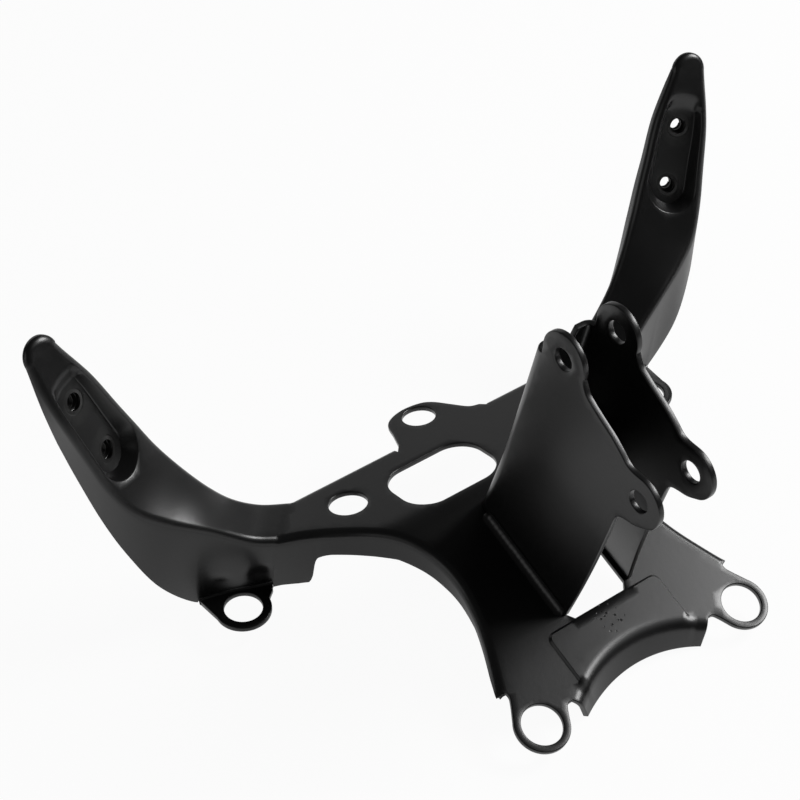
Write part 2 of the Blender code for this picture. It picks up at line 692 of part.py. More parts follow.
def build_horn(bm):
    """The right horn: its web with the pressed pad, its flange all round, the tip and the ear."""
    end = HORN.tip - HORN_TIP_RADIUS
    us = [u for u in HORN.length if u < end - 2.0 / FINE] + [end]
    angles = np.linspace(0, math.pi, 10 * FINE + 1)[1:-1]
    small = HORN_TIP_RADIUS - HORN_INSET
    outer_flat = [np.array((u, HORN.flat_half(u))) for u in us]
    tip_flat = [np.array((end + small * math.sin(a), small * math.cos(a))) for a in angles]
    inner_flat = [np.array((u, -HORN.flat_half(u))) for u in us][::-1]
    root = [np.array((0.0, w)) for w in np.linspace(-HORN.flat_half(0.0), HORN.flat_half(0.0), 6 * FINE + 1)]
    bores = [circle((u, 0.0), SCREW_BORE / 2, 16 * FINE) for u in SCREW_STATIONS]
    web = outer_flat + tip_flat + inner_flat + root[1:-1]
    fill_sheet(web, bores, HORN.pair, bm, guides=pad_lines())
    normals = [HORN.frame(u)[2] for u in us]
    stations = HORN.length[::SPAN]
    feet_line = np.array(spline(FLANGE_FOOT, SPAN))
    feet_marks = np.interp(np.arange(len(feet_line)) / SPAN, np.arange(len(FLANGE_FOOT)),
                           stations[:len(FLANGE_FOOT)])
    outer_foot = [np.array([np.interp(u, feet_marks, feet_line[:, k]) for k in range(3)]) for u in us]
    outer_crease = [HORN.at(u, HORN.half_width(u), 0.0) for u in us]
    ear_columns = range(1, 3 * SPAN)
    ear_root = []
    for i in ear_columns:
        outer_foot[i][2] = EAR_TOP_Z
        ear_root.append(outer_foot[i].copy())
        outer_foot[i] = outer_foot[i] + unit(outer_crease[i] - outer_foot[i]) * EAR_BEND
    centre, across, normal = HORN.frame(end)
    ahead = np.cross(across, normal)
    ahead = ahead if ahead[2] > 0 else -ahead
    tip_crease = [centre + (across * math.cos(a) + ahead * math.sin(a)) * HORN_TIP_RADIUS for a in angles]
    tip_foot = [p - normal * TIP_RIM for p in tip_crease]
    inner_crease = [HORN.at(u, -HORN.half_width(u), 0.0) for u in us][::-1]
    inner_foot = []
    for u, crease, face in zip(us[::-1], inner_crease, normals[::-1]):
        depth = float(np.interp(u, stations[:len(REAR_FLANGE_DEPTH)], REAR_FLANGE_DEPTH))
        blend = smooth_step(u / REAR_FLANGE_TURN)
        inner_foot.append(crease + unit(-face * blend - UP[0] * (1 - blend)) * depth)
    edges = [HORN.at(*p, 0.0) for p in outer_flat + tip_flat + inner_flat]
    rows = bend_rows(edges, outer_crease + tip_crease + inner_crease, outer_foot + tip_foot + inner_foot,
                     normals + [normal] * len(angles) + normals[::-1])
    strip(bm, rows)
    build_ear(bm, [rows[-1][i] for i in ear_columns], ear_root)


def build_ear(bm, flange_foot, root):
    """The ear bent forward from the foot of the outer flange."""
    forward = unit(root[-1] - root[0])
    forward = np.array((forward[1], -forward[0], 0.0))
    rows = [[] for _ in range(ARC + 1)]
    for (foot, behind), crease in zip(flange_foot, root):
        edge = crease + forward * EAR_BEND
        first = unit(foot - behind)
        weight = math.sin(math.acos(float(unit(foot - crease).dot(forward))) / 2)
        for k in range(ARC + 1):
            t = k / ARC
            parts = ((1 - t) ** 2, 2 * t * (1 - t) * weight, t * t)
            front = (foot * parts[0] + crease * parts[1] + edge * parts[2]) / sum(parts)
            rows[k].append((front, front - turned(first, UP[0], t) * SHEET))
    strip(bm, rows)
    edge = [pair[0][:2] for pair in rows[-1]]
    outline = edge[::-1]
    outline += [edge[0] + forward[:2] * 2.5 + np.array((0.5, 0.0))]
    start, stop = math.radians(190), math.radians(368)
    outline += circle((EAR_X, EAR_Y), EAR_RADIUS, 16 * FINE + 1, start, stop, closed=False)
    bore = circle((EAR_X, EAR_Y), EAR_BORE / 2, RING)
    fill_sheet(outline, [bore], lambda x, y: ((x, y, EAR_TOP_Z), (x, y, EAR_TOP_Z - SHEET)), bm)


def build_plate(material):
    """The whole pressed plate as one sheet."""
    bm = new_sheet()
    build_body(bm)
    horn = new_sheet()
    build_horn(horn)
    for side in (1, -1):
        add_copy(bm, horn, side)
    horn.free()
    bmesh.ops.remove_doubles(bm, verts=bm.verts, dist=0.02)
    thicken(bm)
    return add_object("stay_plate", bm, material)


def foot_z(y):
    """Height of the bracket's foot above the plate, so that the flared walls stay clear of it."""
    flare = WALL * 2 * WALL_FOOT_SPREAD / SPREAD_HEIGHT
    return PROFILE.height(y) + SEAT_GAP + flare


def wall_x(y, z):
    """Half width of the bracket's outer faces, which spread towards the foot."""
    height = (z - PROFILE.height(y)) * math.cos(PROFILE.front)
    spread = max(1.0 - height / SPREAD_HEIGHT, 0.0)
    return WALL_HALF_WIDTH + WALL_FOOT_SPREAD * spread ** 2


def web_line(z):
    """Depth of the web's outer face at a height."""
    low = foot_z(WEB_FOOT_Y)
    share = (z - low) / (WEB_TOP[1] - low)
    return WEB_FOOT_Y + (WEB_TOP[0] - WEB_FOOT_Y) * share


def wall_outline():
    """Side view of a bracket wall: two round lobes, a hollow front edge and the foot on the plate."""
    upper, lower = np.array(UPPER_HOLE), np.array(LOWER_HOLE)
    foot_front = np.array((FOOT_FRONT_Y, foot_z(FOOT_FRONT_Y)))
    top = circle(upper, LOBE_RADIUS, 14 * FINE + 1, math.radians(-4), math.radians(196), closed=False)
    nose = circle(lower, LOBE_RADIUS, 12 * FINE + 1, math.radians(88), math.radians(244), closed=False)
    waist = spline([top[-1], *WAIST, nose[0]], FINE)[1:-1]
    throat = spline([nose[-1], *THROAT], FINE)[1:]
    front = list(np.linspace(throat[-1], foot_front, 8 * FINE + 1))[1:-1]
    foot_rear_y = WEB_FOOT_Y - FOLD_RADIUS
    foot = [np.array((y, foot_z(y))) for y in np.linspace(FOOT_FRONT_Y, foot_rear_y, 11 * FINE + 1)]
    return top + waist + nose + throat + front + foot[:-1] + fold_line()


def fold_line():
    """Points on the line where a wall turns into the web, from the foot to the top."""
    count = 16 * FINE
    foot_y = WEB_FOOT_Y - FOLD_RADIUS
    low = foot_z(foot_y)
    top = UPPER_HOLE[1] - FOLD_DROP
    heights = [low + (top - low) * k / count for k in range(count + 1)]
    return [np.array((foot_y, low))] + [np.array((web_line(z) - FOLD_RADIUS, z)) for z in heights[1:]]


def web_columns():
    """Places across the web at which its mesh has a column, close together beside the cut."""
    steps = 3 * FINE
    inner = WEB_CUT_HALF_WIDTH - WEB_CUT_SLOPE
    side = [WEB_CUT_HALF_WIDTH - WEB_CUT_SLOPE * i / steps for i in range(steps + 1)]
    middle = [inner - 2 * inner * i / steps for i in range(1, steps)]
    return side + middle + [-x for x in side[::-1]]


def build_bracket(material):
    """The folded headstock bracket as one sheet."""
    bm = new_sheet()
    outline = wall_outline()
    bores = [circle(UPPER_HOLE, HOLE_BORE / 2, RING), circle(LOWER_HOLE, HOLE_BORE / 2, RING)]
    for side in (1, -1):
        fill_sheet(outline, bores, lambda y, z, s=side: ((BRACKET_X + s * wall_x(y, z), y, z),) * 2, bm)
    rows = []
    low, top = fold_line()[0][1], fold_line()[-1][1]
    for k, (y, z) in enumerate(fold_line()):
        half = wall_x(y, z)
        flat = half - FOLD_RADIUS
        row = []
        for i in range(ARC + 1):
            a = math.pi / 2 * i / ARC
            row.append((flat + FOLD_RADIUS * math.cos(a), y + FOLD_RADIUS * math.sin(a)))
        row += [(x, y + FOLD_RADIUS) for x in web_columns()]
        row += [(-x, yy) for x, yy in row[:ARC + 1]][::-1]
        points = []
        for x, yy in row:
            if k == 0:
                zz = foot_z(yy)
            else:
                cut = WEB_CUT_DEPTH * smooth_step((WEB_CUT_HALF_WIDTH - abs(x)) / WEB_CUT_SLOPE)
                zz = z - cut * ((z - low) / (top - low)) ** 2
                yy += web_line(zz) - web_line(z)
            points.append((np.array((BRACKET_X + x, yy, zz)),) * 2)
        rows.append(points)
    strip(bm, rows)
    bmesh.ops.remove_doubles(bm, verts=bm.verts, dist=0.02)
    bmesh.ops.recalc_face_normals(bm, faces=bm.faces)
    rear = max(bm.faces, key=lambda f: f.calc_center_median().y)
    if rear.normal.y < 0:
        bmesh.ops.reverse_faces(bm, faces=bm.faces)
    obj = add_object("headstock_bracket", bm, material)
    solid = obj.modifiers.new("sheet", 'SOLIDIFY')
    solid.thickness = WALL * MM
    solid.offset = -1.0
    solid.use_even_offset = True
    return obj


def build_bead(name, path, out, material):
    """A weld bead: a rounded fillet swept along the corner between bracket and plate."""
    bm = bmesh.new()
    sections = []
    count = len(path)
    for i, point in enumerate(path):
        ahead = path[min(i + 1, count - 1)] - path[max(i - 1, 0)]
        ahead = ahead / np.linalg.norm(ahead)
        side = out - ahead * out.dot(ahead)
        side /= np.linalg.norm(side)
        up = np.cross(side, ahead)
        if up[2] < 0:
            up = -up
        end = min(i, count - 1 - i) / (2.0 * FINE)
        leg = BEAD_LEG * (0.45 + 0.55 * smooth_step(end))
        ring = [point, point + side * leg, point + side * leg * 0.86 + up * leg * 0.42,
                point + side * leg * 0.42 + up * leg * 0.86, point + up * leg]
        sections.append([bm.verts.new(p) for p in ring])
    for a, b in zip(sections, sections[1:]):
        for k in range(5):
            bm.faces.new((a[k], a[(k + 1) % 5], b[(k + 1) % 5], b[k]))
    bm.faces.new(sections[0])
    bm.faces.new(sections[-1])
    bmesh.ops.recalc_face_normals(bm, faces=bm.faces)
    return add_object(name, bm, material, 50.0)


def bead_path(side):
    """Line of a side bead, clear of the wall and of the plate."""
    path = []
    for y in np.linspace(BEAD_START_Y, BEAD_END_Y, 23 * FINE + 1):
        z = PROFILE.height(y) + SEAT_GAP
        path.append(np.array((BRACKET_X + side * (wall_x(y, z) + SEAT_GAP), y, z)))
    return path


def build_nut(name, station, side, material):
    """A hexagon weld nut, seated on the back of the mirror pad."""
    centre, across, normal = HORN.frame(station)
    slope = (HORN.point(station + 4, 0.0) - HORN.point(station - 4, 0.0))
    slope /= np.linalg.norm(slope)
    across = (HORN.point(station, 3.0) - HORN.point(station, -3.0))
    across /= np.linalg.norm(across)
    axis = np.cross(slope, across)
    axis /= np.linalg.norm(axis)
    if axis.dot(normal) < 0:
        axis = -axis
    seat = HORN.point(station, 0.0) - axis * (SHEET + SEAT_GAP)
    second = np.cross(axis, across)
    bm = bmesh.new()
    count = 24
    loops = []
    for depth in (0.0, NUT_HEIGHT):
        outer, inner = [], []
        for i in range(count):
            a = 2 * math.pi * i / count
            flat = (NUT_WIDTH / 2) / math.cos((a % (math.pi / 3)) - math.pi / 6)
            for ring, radius in ((outer, flat), (inner, NUT_BORE / 2)):
                p = seat - axis * depth + (across * math.cos(a) + second * math.sin(a)) * radius
                p[0] *= side
                ring.append(bm.verts.new(p))
        loops.append((outer, inner))
    (outer_a, inner_a), (outer_b, inner_b) = loops
    for i in range(count):
        j = (i + 1) % count
        bm.faces.new((outer_a[i], outer_a[j], inner_a[j], inner_a[i]))
        bm.faces.new((outer_b[i], outer_b[j], inner_b[j], inner_b[i]))
        bm.faces.new((outer_a[i], outer_a[j], outer_b[j], outer_b[i]))
        bm.faces.new((inner_a[i], inner_a[j], inner_b[j], inner_b[i]))
    bmesh.ops.recalc_face_normals(bm, faces=bm.faces)
    return add_object(name, bm, material, 40.0)


def main():
    for obj in list(bpy.data.objects):
        bpy.data.objects.remove(obj, do_unlink=True)
    paint = paint_material("satin_black_paint", PAINT, 0.45, 0.0)
    zinc = paint_material("zinc_plate", ZINC, 0.4, 1.0)
    build_plate(paint)
    build_bracket(paint)
    build_bead("weld_bead_left", bead_path(-1), np.array((-1.0, 0, 0)), paint)
    build_bead("weld_bead_right", bead_path(1), np.array((1.0, 0, 0)), paint)
    for side, word in ((-1, "left"), (1, "right")):
        for station, place in zip(SCREW_STATIONS, ("lower", "upper")):
            build_nut("weld_nut_%s_%s" % (word, place), station, side, zinc)


main()
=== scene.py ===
# %% [markdown]
# A motorcycle fairing stay, dressed around its CAD frame.
# The stay carries the nose of a full fairing. One steel sheet was pressed into a plate with two
# horns, a folded bracket was welded on its front slope, and everything was sprayed satin black.
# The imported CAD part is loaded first. Its box is kept, because nothing here may grow past it.

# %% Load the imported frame
import math

import bmesh
import bpy
import numpy as np
from mathutils import Matrix, Vector
from mathutils.geometry import delaunay_2d_cdt


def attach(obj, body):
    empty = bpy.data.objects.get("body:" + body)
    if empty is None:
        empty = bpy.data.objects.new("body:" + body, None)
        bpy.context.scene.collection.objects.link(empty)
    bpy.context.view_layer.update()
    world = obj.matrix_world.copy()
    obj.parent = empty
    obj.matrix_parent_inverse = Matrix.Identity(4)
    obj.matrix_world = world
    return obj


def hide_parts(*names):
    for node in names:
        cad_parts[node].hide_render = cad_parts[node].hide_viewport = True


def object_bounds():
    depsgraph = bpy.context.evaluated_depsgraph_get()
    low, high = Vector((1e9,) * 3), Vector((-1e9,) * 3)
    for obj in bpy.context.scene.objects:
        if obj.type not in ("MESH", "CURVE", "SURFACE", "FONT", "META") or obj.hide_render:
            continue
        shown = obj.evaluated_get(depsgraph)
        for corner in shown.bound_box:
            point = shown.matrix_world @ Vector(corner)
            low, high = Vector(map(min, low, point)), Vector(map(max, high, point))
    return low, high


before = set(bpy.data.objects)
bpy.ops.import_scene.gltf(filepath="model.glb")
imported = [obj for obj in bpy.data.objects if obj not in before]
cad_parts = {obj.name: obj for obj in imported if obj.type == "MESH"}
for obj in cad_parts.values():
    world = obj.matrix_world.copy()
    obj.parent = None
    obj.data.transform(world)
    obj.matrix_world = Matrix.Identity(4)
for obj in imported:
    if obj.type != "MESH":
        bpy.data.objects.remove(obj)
cad_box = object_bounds()
bpy.context.scene.view_settings.view_transform = 'Standard'


def new_object(name, data):
    """Adds an object to the scene."""
    obj = bpy.data.objects.new(name, data)
    bpy.context.scene.collection.objects.link(obj)
    return obj


print("nodes:", sorted(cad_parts))
print("CAD box in metres:", [[round(v, 4) for v in corner] for corner in cad_box])

# %% [markdown]
# The photograph was taken from the front left and from above, with a long lens.
# Its place was worked out from the holes of the stay: a pinhole camera 90 mm long on a 36 mm
# sensor puts the holes where the picture shows them. The numbers are in the CAD's own frame.

# %% Camera
CAMERA_PLACE = (-0.480, -0.5382, 0.749425)
CAMERA_AIM = (0.45004, 0.59866, -0.66262)           # unit vector along the line of sight
CAMERA_LENS = 90.0
CAMERA_SENSOR = 36.0

camera_data = bpy.data.cameras.new("photo_camera")
camera_data.lens = CAMERA_LENS
camera_data.sensor_width = CAMERA_SENSOR
camera = new_object("photo_camera", camera_data)
camera.location = CAMERA_PLACE
camera.rotation_euler = Vector(CAMERA_AIM).to_track_quat('-Z', 'Y').to_euler()
bpy.context.scene.camera = camera
print("camera", [round(math.degrees(a), 2) for a in camera.rotation_euler])

# %% [markdown]
# A world and a material are trees of nodes. A few helpers add a node, wire it and work a value
# out, so that each finish further down reads as a short list of steps.

# %% Helpers for node trees
WHITE = (1.0, 1.0, 1.0, 1.0)


def empty_tree(owner):
    """The node tree of a world or a material, with nothing in it."""
    owner.use_nodes = True
    owner.node_tree.nodes.clear()
    return owner.node_tree


def wire(node, links):
    """Links a node's inputs to what feeds them, or sets their values."""
    for socket, source in links:
        if hasattr(source, "node"):
            node.id_data.links.new(source, node.inputs[socket])
        else:
            node.inputs[socket].default_value = source
    return node


def place(tree, kind, links=(), **settings):
    """Adds a node to a tree, sets its options and wires it."""
    node = tree.nodes.new(kind)
    for word, value in settings.items():
        setattr(node, word, value)
    return wire(node, links)


def worked_out(tree, operation, first, second=0.0):
    """The result of a Math node."""
    return place(tree, "ShaderNodeMath", [(0, first), (1, second)], operation=operation).outputs[0]


def between(tree, value, low, high, to_low, to_high):
    """Maps a range of a value onto another one, and holds it there."""
    words = ("Value", "From Min", "From Max", "To Min", "To Max")
    links = zip(words, (value, low, high, to_low, to_high))
    return place(tree, "ShaderNodeMapRange", links).outputs["Result"]


def distance_from(tree, where, spot):
    """How far a point of the pattern is from a spot."""
    away = place(tree, "ShaderNodeVectorMath", [(0, where), (1, spot)], operation='DISTANCE')
    return away.outputs["Value"]


def end_in_mix(tree, share, first, second, output):
    """Ends a tree in a mix of two shaders."""
    mix = place(tree, "ShaderNodeMixShader", [(0, share), (1, first.outputs[0]), (2, second.outputs[0])])
    place(tree, output, [("Surface", mix.outputs[0])])


print("white has the strength", WHITE[0])

# %% [markdown]
# The picture is a studio shot on pure white, and black paint shows its form only by what it
# mirrors. The outer flanges mirror a glowing sheet under the stay, painted light in the floor,
# and the horns mirror a dark room. So the camera sees white everywhere, while mirrored rays see
# white only on the sheet.

# %% White world
WORLD_STRENGTH = 0.05         # how bright the room is to every ray but the camera's

world = bpy.data.worlds.new("white_studio")
tree = empty_tree(world)
dim, bright = (place(tree, "ShaderNodeBackground", [("Color", WHITE), ("Strength", strength)])
               for strength in (WORLD_STRENGTH, 1.0))
by_camera = place(tree, "ShaderNodeLightPath").outputs["Is Camera Ray"]
end_in_mix(tree, by_camera, dim, bright, "ShaderNodeOutputWorld")
bpy.context.scene.world = world
print("room strength", WORLD_STRENGTH)

# %% [markdown]
# The floor keeps a little plain diffuse for the camera, and that share shows a faint contact
# shadow. To a mirrored ray it glows as a white sheet round the stay, a painted light with a
# painted shadow where the stay would shade it.

# %% Floor
FLOOR_HALF = 4.0
FLOOR_DROP = 0.0008           # how far under the stay the floor lies
FLOOR_GREY = (0.8, 0.8, 0.8, 1.0)
SHADOW_SHARE = 0.05           # how much of the floor seen by the camera is lit by the lamps
SHEET_SHARE = 0.95            # how white the sheet is to a mirrored ray
SHEET_MIDDLE = (-0.13, -0.02, 0.0)
SHEET_EDGE = (0.22, 0.36)     # the sheet fades out between these distances from its middle
SHADE_EDGE = (0.05, 0.18)     # and the stay's shade on it between these
SHADE_SHARE = 0.5             # how bright the sheet is in that shade

floor_paint = bpy.data.materials.new("white_floor")
tree = empty_tree(floor_paint)
path = place(tree, "ShaderNodeLightPath").outputs
where = place(tree, "ShaderNodeTexCoord").outputs["Object"]
far = distance_from(tree, where, SHEET_MIDDLE)
# the sheet's glow is painted light, and its dimming under the stay is painted shadow
sheet = worked_out(tree, 'MULTIPLY', between(tree, far, *SHEET_EDGE, SHEET_SHARE, 0.0),
                   between(tree, far, *SHADE_EDGE, SHADE_SHARE, 1.0))
mirrored_painted_glow = worked_out(tree, 'MULTIPLY', sheet, path["Is Glossy Ray"])
seen_white = worked_out(tree, 'MULTIPLY', path["Is Camera Ray"], 1.0 - SHADOW_SHARE)
plain = place(tree, "ShaderNodeBsdfDiffuse", [("Color", FLOOR_GREY)])
glow = place(tree, "ShaderNodeEmission", [("Color", WHITE), ("Strength", 1.0)])
white_share = worked_out(tree, 'MAXIMUM', seen_white, mirrored_painted_glow)
end_in_mix(tree, white_share, plain, glow, "ShaderNodeOutputMaterial")

floor_mesh = bpy.data.meshes.new("floor")
corners = [(x * FLOOR_HALF, y * FLOOR_HALF, 0.0) for x, y in ((-1, -1), (1, -1), (1, 1), (-1, 1))]
floor_mesh.from_pydata(corners, [], [(0, 1, 2, 3)])
floor_mesh.materials.append(floor_paint)
floor = new_object("floor", floor_mesh)
floor.location.z = -FLOOR_DROP
print("floor", FLOOR_HALF * 2, "m wide")

# %% [markdown]
# One wide soft lamp high on the right makes the front band and the right leg bright, as in the
# picture. Low, weak ones at the back and at the sides draw the rims and the rear slope.

# %% Lamps
STAY_MIDDLE = (0.0, 0.0, 0.08)
LAMPS = {                     # each lamp's place, its width and height in metres, and its watts
    "right_window": ((1.111, -0.404, 1.004), (0.8, 0.6), 21.0),
    "front_right_sheet": ((0.788, -0.788, 1.084), (1.1, 0.8), 1.0),
    "rear_sheet": ((0.0, 1.449, 0.468), (1.1, 0.8), 1.6),
    "rear_right_sheet": ((1.025, 1.025, 0.468), (1.1, 0.8), 1.0),
    "left_sheet": ((-1.449, 0.0, 0.468), (1.1, 0.8), 1.8),
}

for name, (spot, size, watts) in LAMPS.items():
    data = bpy.data.lights.new(name, 'AREA')
    data.shape = 'RECTANGLE'
    data.size, data.size_y = size
    data.energy = watts
    lamp = new_object(name, data)
    lamp.location = spot
    lamp.rotation_euler = (Vector(STAY_MIDDLE) - Vector(spot)).to_track_quat('-Z', 'Y').to_euler()
    print("lamp", name, watts, "W")

# %% [markdown]
# The finish is a satin black enamel, sprayed and baked over steel. Seen close, it isn't flat:
# it has a fine orange peel, a slightly uneven gloss, and the paint draws thin and lighter on
# outside edges. On the front band it has a few pinholes. All of that is made from Object
# coordinates, so it stays in the metal.

# %% Patterns of the enamel
NOISE_RANGE = (0.3, 0.7)      # a noise seldom leaves these values
PIT_MIDDLE = (-0.0013, -0.0713, 0.0234)
PIT_REACH = (0.00595, 0.0085)   # the pinholes get rare between these distances from there
PIT_SCALE = 420.0
PIT_SIZE = (0.20, 0.30)       # a pinhole's flat bottom and its rim, in its cell
PATCH_SCALE = 260.0
PATCH_EDGE = (0.50, 0.56)     # noise below the first has no pinholes, above the second all


def noise(tree, scale, detail, where):
    """A cloudy pattern of 0 to 1."""
    links = [("Scale", scale), ("Detail", detail), ("Vector", where)]
    return place(tree, "ShaderNodeTexNoise", links).outputs["Fac"]


def bumped(tree, height, distance, below=None):
    """The surface's normal, tilted by a pattern of heights."""
    node = place(tree, "ShaderNodeBump", [("Strength", 1.0), ("Distance", distance), ("Height", height)])
    if below is not None:
        wire(node, [("Normal", below)])
    return node.outputs["Normal"]


COLOUR_A, COLOUR_B, COLOUR_RESULT = 6, 7, 2      # a Mix node's sockets for colours


def blended(tree, share, first, second):
    """A colour between two others."""
    links = [("Factor", share), (COLOUR_A, first), (COLOUR_B, second)]
    return place(tree, "ShaderNodeMix", links, data_type='RGBA').outputs[COLOUR_RESULT]


def pinholes(tree, where):
    """1 in a pinhole and 0 elsewhere: some of the cells of a pattern, near one spot."""
    cells = place(tree, "ShaderNodeTexVoronoi", [("Scale", PIT_SCALE), ("Vector", where)])
    patches = between(tree, noise(tree, PATCH_SCALE, 1.0, where), *PATCH_EDGE, 0.0, 1.0)
    pits = between(tree, cells.outputs["Distance"], *PIT_SIZE, 1.0, 0.0)
    near = between(tree, distance_from(tree, where, PIT_MIDDLE), *PIT_REACH, 1.0, 0.0)
    return worked_out(tree, 'MULTIPLY', worked_out(tree, 'MULTIPLY', pits, patches), near)


print("pinholes reach", PIT_REACH[1], "m")

# %% Satin black enamel
ENAMEL_BLACK = (0.0045, 0.0045, 0.0047)
ENAMEL_CLOUDS = 0.25          # by what share the black varies
ENAMEL_WORN = (0.035, 0.035, 0.034, 1.0)
ENAMEL_GLOSS = 0.32           # its roughness
ENAMEL_GRAIN = 0.01           # how far a fine grain changes that
ENAMEL_PEEL = 0.000022        # depth of the orange peel, in metres
ENAMEL_DIRT = 0.015           # how far its roughness changes from place to place
WELD_PEEL = 1.5               # how much deeper the peel is on a weld
WELD_DIRT = 2.0               # and how much more uneven the gloss
ENAMEL_COAT = 0.15
COAT_GLOSS = 0.22
WORN_EDGE = (0.53, 0.60)      # how pointed an edge is where the wear starts, and where it is full
WORN_SHARE = 0.55
WORN_PATCHES = (0.35, 0.65, 0.3, 1.0)   # a noise's range, and the share of wear that it leaves
PIT_DEPTH = 0.0003
CLOUD_SCALE = 22.0
PATCHY_SCALE = 60.0
PEEL_SCALE = 420.0
GRAIN_SCALE = 900.0


def satin_enamel(name, peel, dirt):
    """The stay's black enamel. peel sets the depth of its orange peel, dirt its uneven gloss."""
    material = bpy.data.materials.new(name)
    material.use_nodes = True
    tree = material.node_tree
    where = place(tree, "ShaderNodeTexCoord").outputs["Object"]
    edge = place(tree, "ShaderNodeNewGeometry").outputs["Pointiness"]
    cloud = noise(tree, CLOUD_SCALE, 4.0, where)
    grain = noise(tree, GRAIN_SCALE, 3.0, where)
    pits = pinholes(tree, where)
    gloss = between(tree, cloud, *NOISE_RANGE, ENAMEL_GLOSS - dirt, ENAMEL_GLOSS + dirt)
    gloss = worked_out(tree, 'ADD', gloss, between(tree, grain, *NOISE_RANGE, -ENAMEL_GRAIN, ENAMEL_GRAIN))
    worn = worked_out(tree, 'MULTIPLY', between(tree, edge, *WORN_EDGE, 0.0, WORN_SHARE),
                      between(tree, noise(tree, PATCHY_SCALE, 3.0, where), *WORN_PATCHES))
    dark, light = ([c * (1 + more) for c in ENAMEL_BLACK] + [1.0] for more in (-ENAMEL_CLOUDS, ENAMEL_CLOUDS))
    black = blended(tree, between(tree, cloud, *NOISE_RANGE, 0.0, 1.0), dark, light)
    peeled = bumped(tree, noise(tree, PEEL_SCALE, 2.0, where), peel)
    wire(tree.nodes["Principled BSDF"], [
        ("Base Color", blended(tree, worn, black, ENAMEL_WORN)),
        ("Roughness", worked_out(tree, 'MAXIMUM', gloss, pits)),
        ("Normal", bumped(tree, between(tree, pits, 0.0, 1.0, 1.0, 0.0), PIT_DEPTH, peeled)),
        ("Specular IOR Level", 0.5), ("Coat Weight", ENAMEL_COAT), ("Coat Roughness", COAT_GLOSS)])
    return material


plate_enamel = satin_enamel("satin_black_enamel", ENAMEL_PEEL, ENAMEL_DIRT)
bead_enamel = satin_enamel("satin_black_enamel_on_weld", ENAMEL_PEEL * WELD_PEEL, ENAMEL_DIRT * WELD_DIRT)
print("materials:", plate_enamel.name, bead_enamel.name)

# %% [markdown]
# The plate is drawn as a press works: flat outlines first, then a bend at every crease.
# Its side view is a shallow roof, a rising front slope, a rounded crest and a falling rear
# slope. A point in the flat is given by x and by its distance s along that line. All sizes are
# the CAD's, in millimetres, so the dressed plate lies where the CAD plate is.

# %% Sizes of the sheet and its side view
MM = 0.001
SEAT_GAP = 0.3              # clearance left between pieces that touch
ORIGIN = (0.0, 95.0, -9.225)   # mid width and mid length, where the stay rests

MERGE = 0.02                # points nearer than this are one

SHEET = 2.8
FRONT_RISE_DEG = 19.25
REAR_FALL_DEG = 11.3
CREST_Y = 108.8
CREST_Z = 42.75
CREST_RADIUS = 40.0
BEND_INSET = 4.8            # how far from a crease the rounding of a flange starts
HORN_INSET = 3.6            # the same, up the horns
BEND_MOST = 0.8             # and the share of a short flange that it takes at most

FINE = 3   # how many times finer than the CAD's mesh
GRID = 12.0 / FINE          # spacing of the inner points of a sheet
RING = 24 * FINE            # points round a bore
ARC = 3 * FINE              # facets round a bend
SPAN = 4 * FINE             # facets between two stations of a horn
FALL = 10  # facets down a flange
GRID_ROW = 0.87             # distance between two rows of those points, in their spacing
GRID_CLEAR = 0.45           # how far they stay from an outline
GUIDE_CLEAR = 0.4           # and from a line that the mesh has to follow


class Profile:
    """The plate's side view: a rising front slope, a rounded crest and a falling rear slope."""

    def __init__(self):
        self.front = math.radians(FRONT_RISE_DEG)
        self.rear = -math.radians(REAR_FALL_DEG)
        tangent = CREST_RADIUS * math.tan((self.front - self.rear) / 2)
        self.y_start = CREST_Y - tangent * math.cos(self.front)
        self.z_start = CREST_Z - tangent * math.sin(self.front)
        self.y_end = CREST_Y + tangent * math.cos(self.rear)
        self.z_end = CREST_Z + tangent * math.sin(self.rear)
        self.centre_y = self.y_start + CREST_RADIUS * math.sin(self.front)
        self.centre_z = self.z_start - CREST_RADIUS * math.cos(self.front)
        self.s_start = self.y_start / math.cos(self.front)
        self.s_end = self.s_start + CREST_RADIUS * (self.front - self.rear)

    def at(self, s):
        """Height line at distance s along the sheet: y, z and slope angle."""
        if s <= self.s_start:
            back = s - self.s_start
            return (self.y_start + back * math.cos(self.front),
                    self.z_start + back * math.sin(self.front), self.front)
        if s >= self.s_end:
            on = s - self.s_end
            return (self.y_end + on * math.cos(self.rear),
                    self.z_end + on * math.sin(self.rear), self.rear)
        slope = self.front - (s - self.s_start) / CREST_RADIUS
        return (self.centre_y - CREST_RADIUS * math.sin(slope),
                self.centre_z + CREST_RADIUS * math.cos(slope), slope)

    def along(self, y):
        """Distance along the sheet at which it reaches y."""
        if y <= self.y_start:
            return self.s_start + (y - self.y_start) / math.cos(self.front)
        if y >= self.y_end:
            return self.s_end + (y - self.y_end) / math.cos(self.rear)
        slope = math.asin((self.centre_y - y) / CREST_RADIUS)
        return self.s_start + CREST_RADIUS * (self.front - slope)

    def height(self, y):
        """Height of the sheet's upper face at y."""
        return self.at(self.along(y))[1]


PROFILE = Profile()
UP = np.array((0.0, 0.0, 1.0))
print("crest at", [round(v, 2) for v in PROFILE.at(PROFILE.along(CREST_Y))[:2]])

# %% [markdown]
# A few helpers draw in the flat: a smooth curve through given points, an arc, a line moved
# sideways, and the tests that fill an outline with an even grid of points.

# %% Curves in the flat
def smooth_step(value):
    value = min(max(value, 0.0), 1.0)
    return value * value * (3.0 - 2.0 * value)


PRESS_ROUND = 0.12          # share of a pressed wall that is rounded at its top, and at its foot


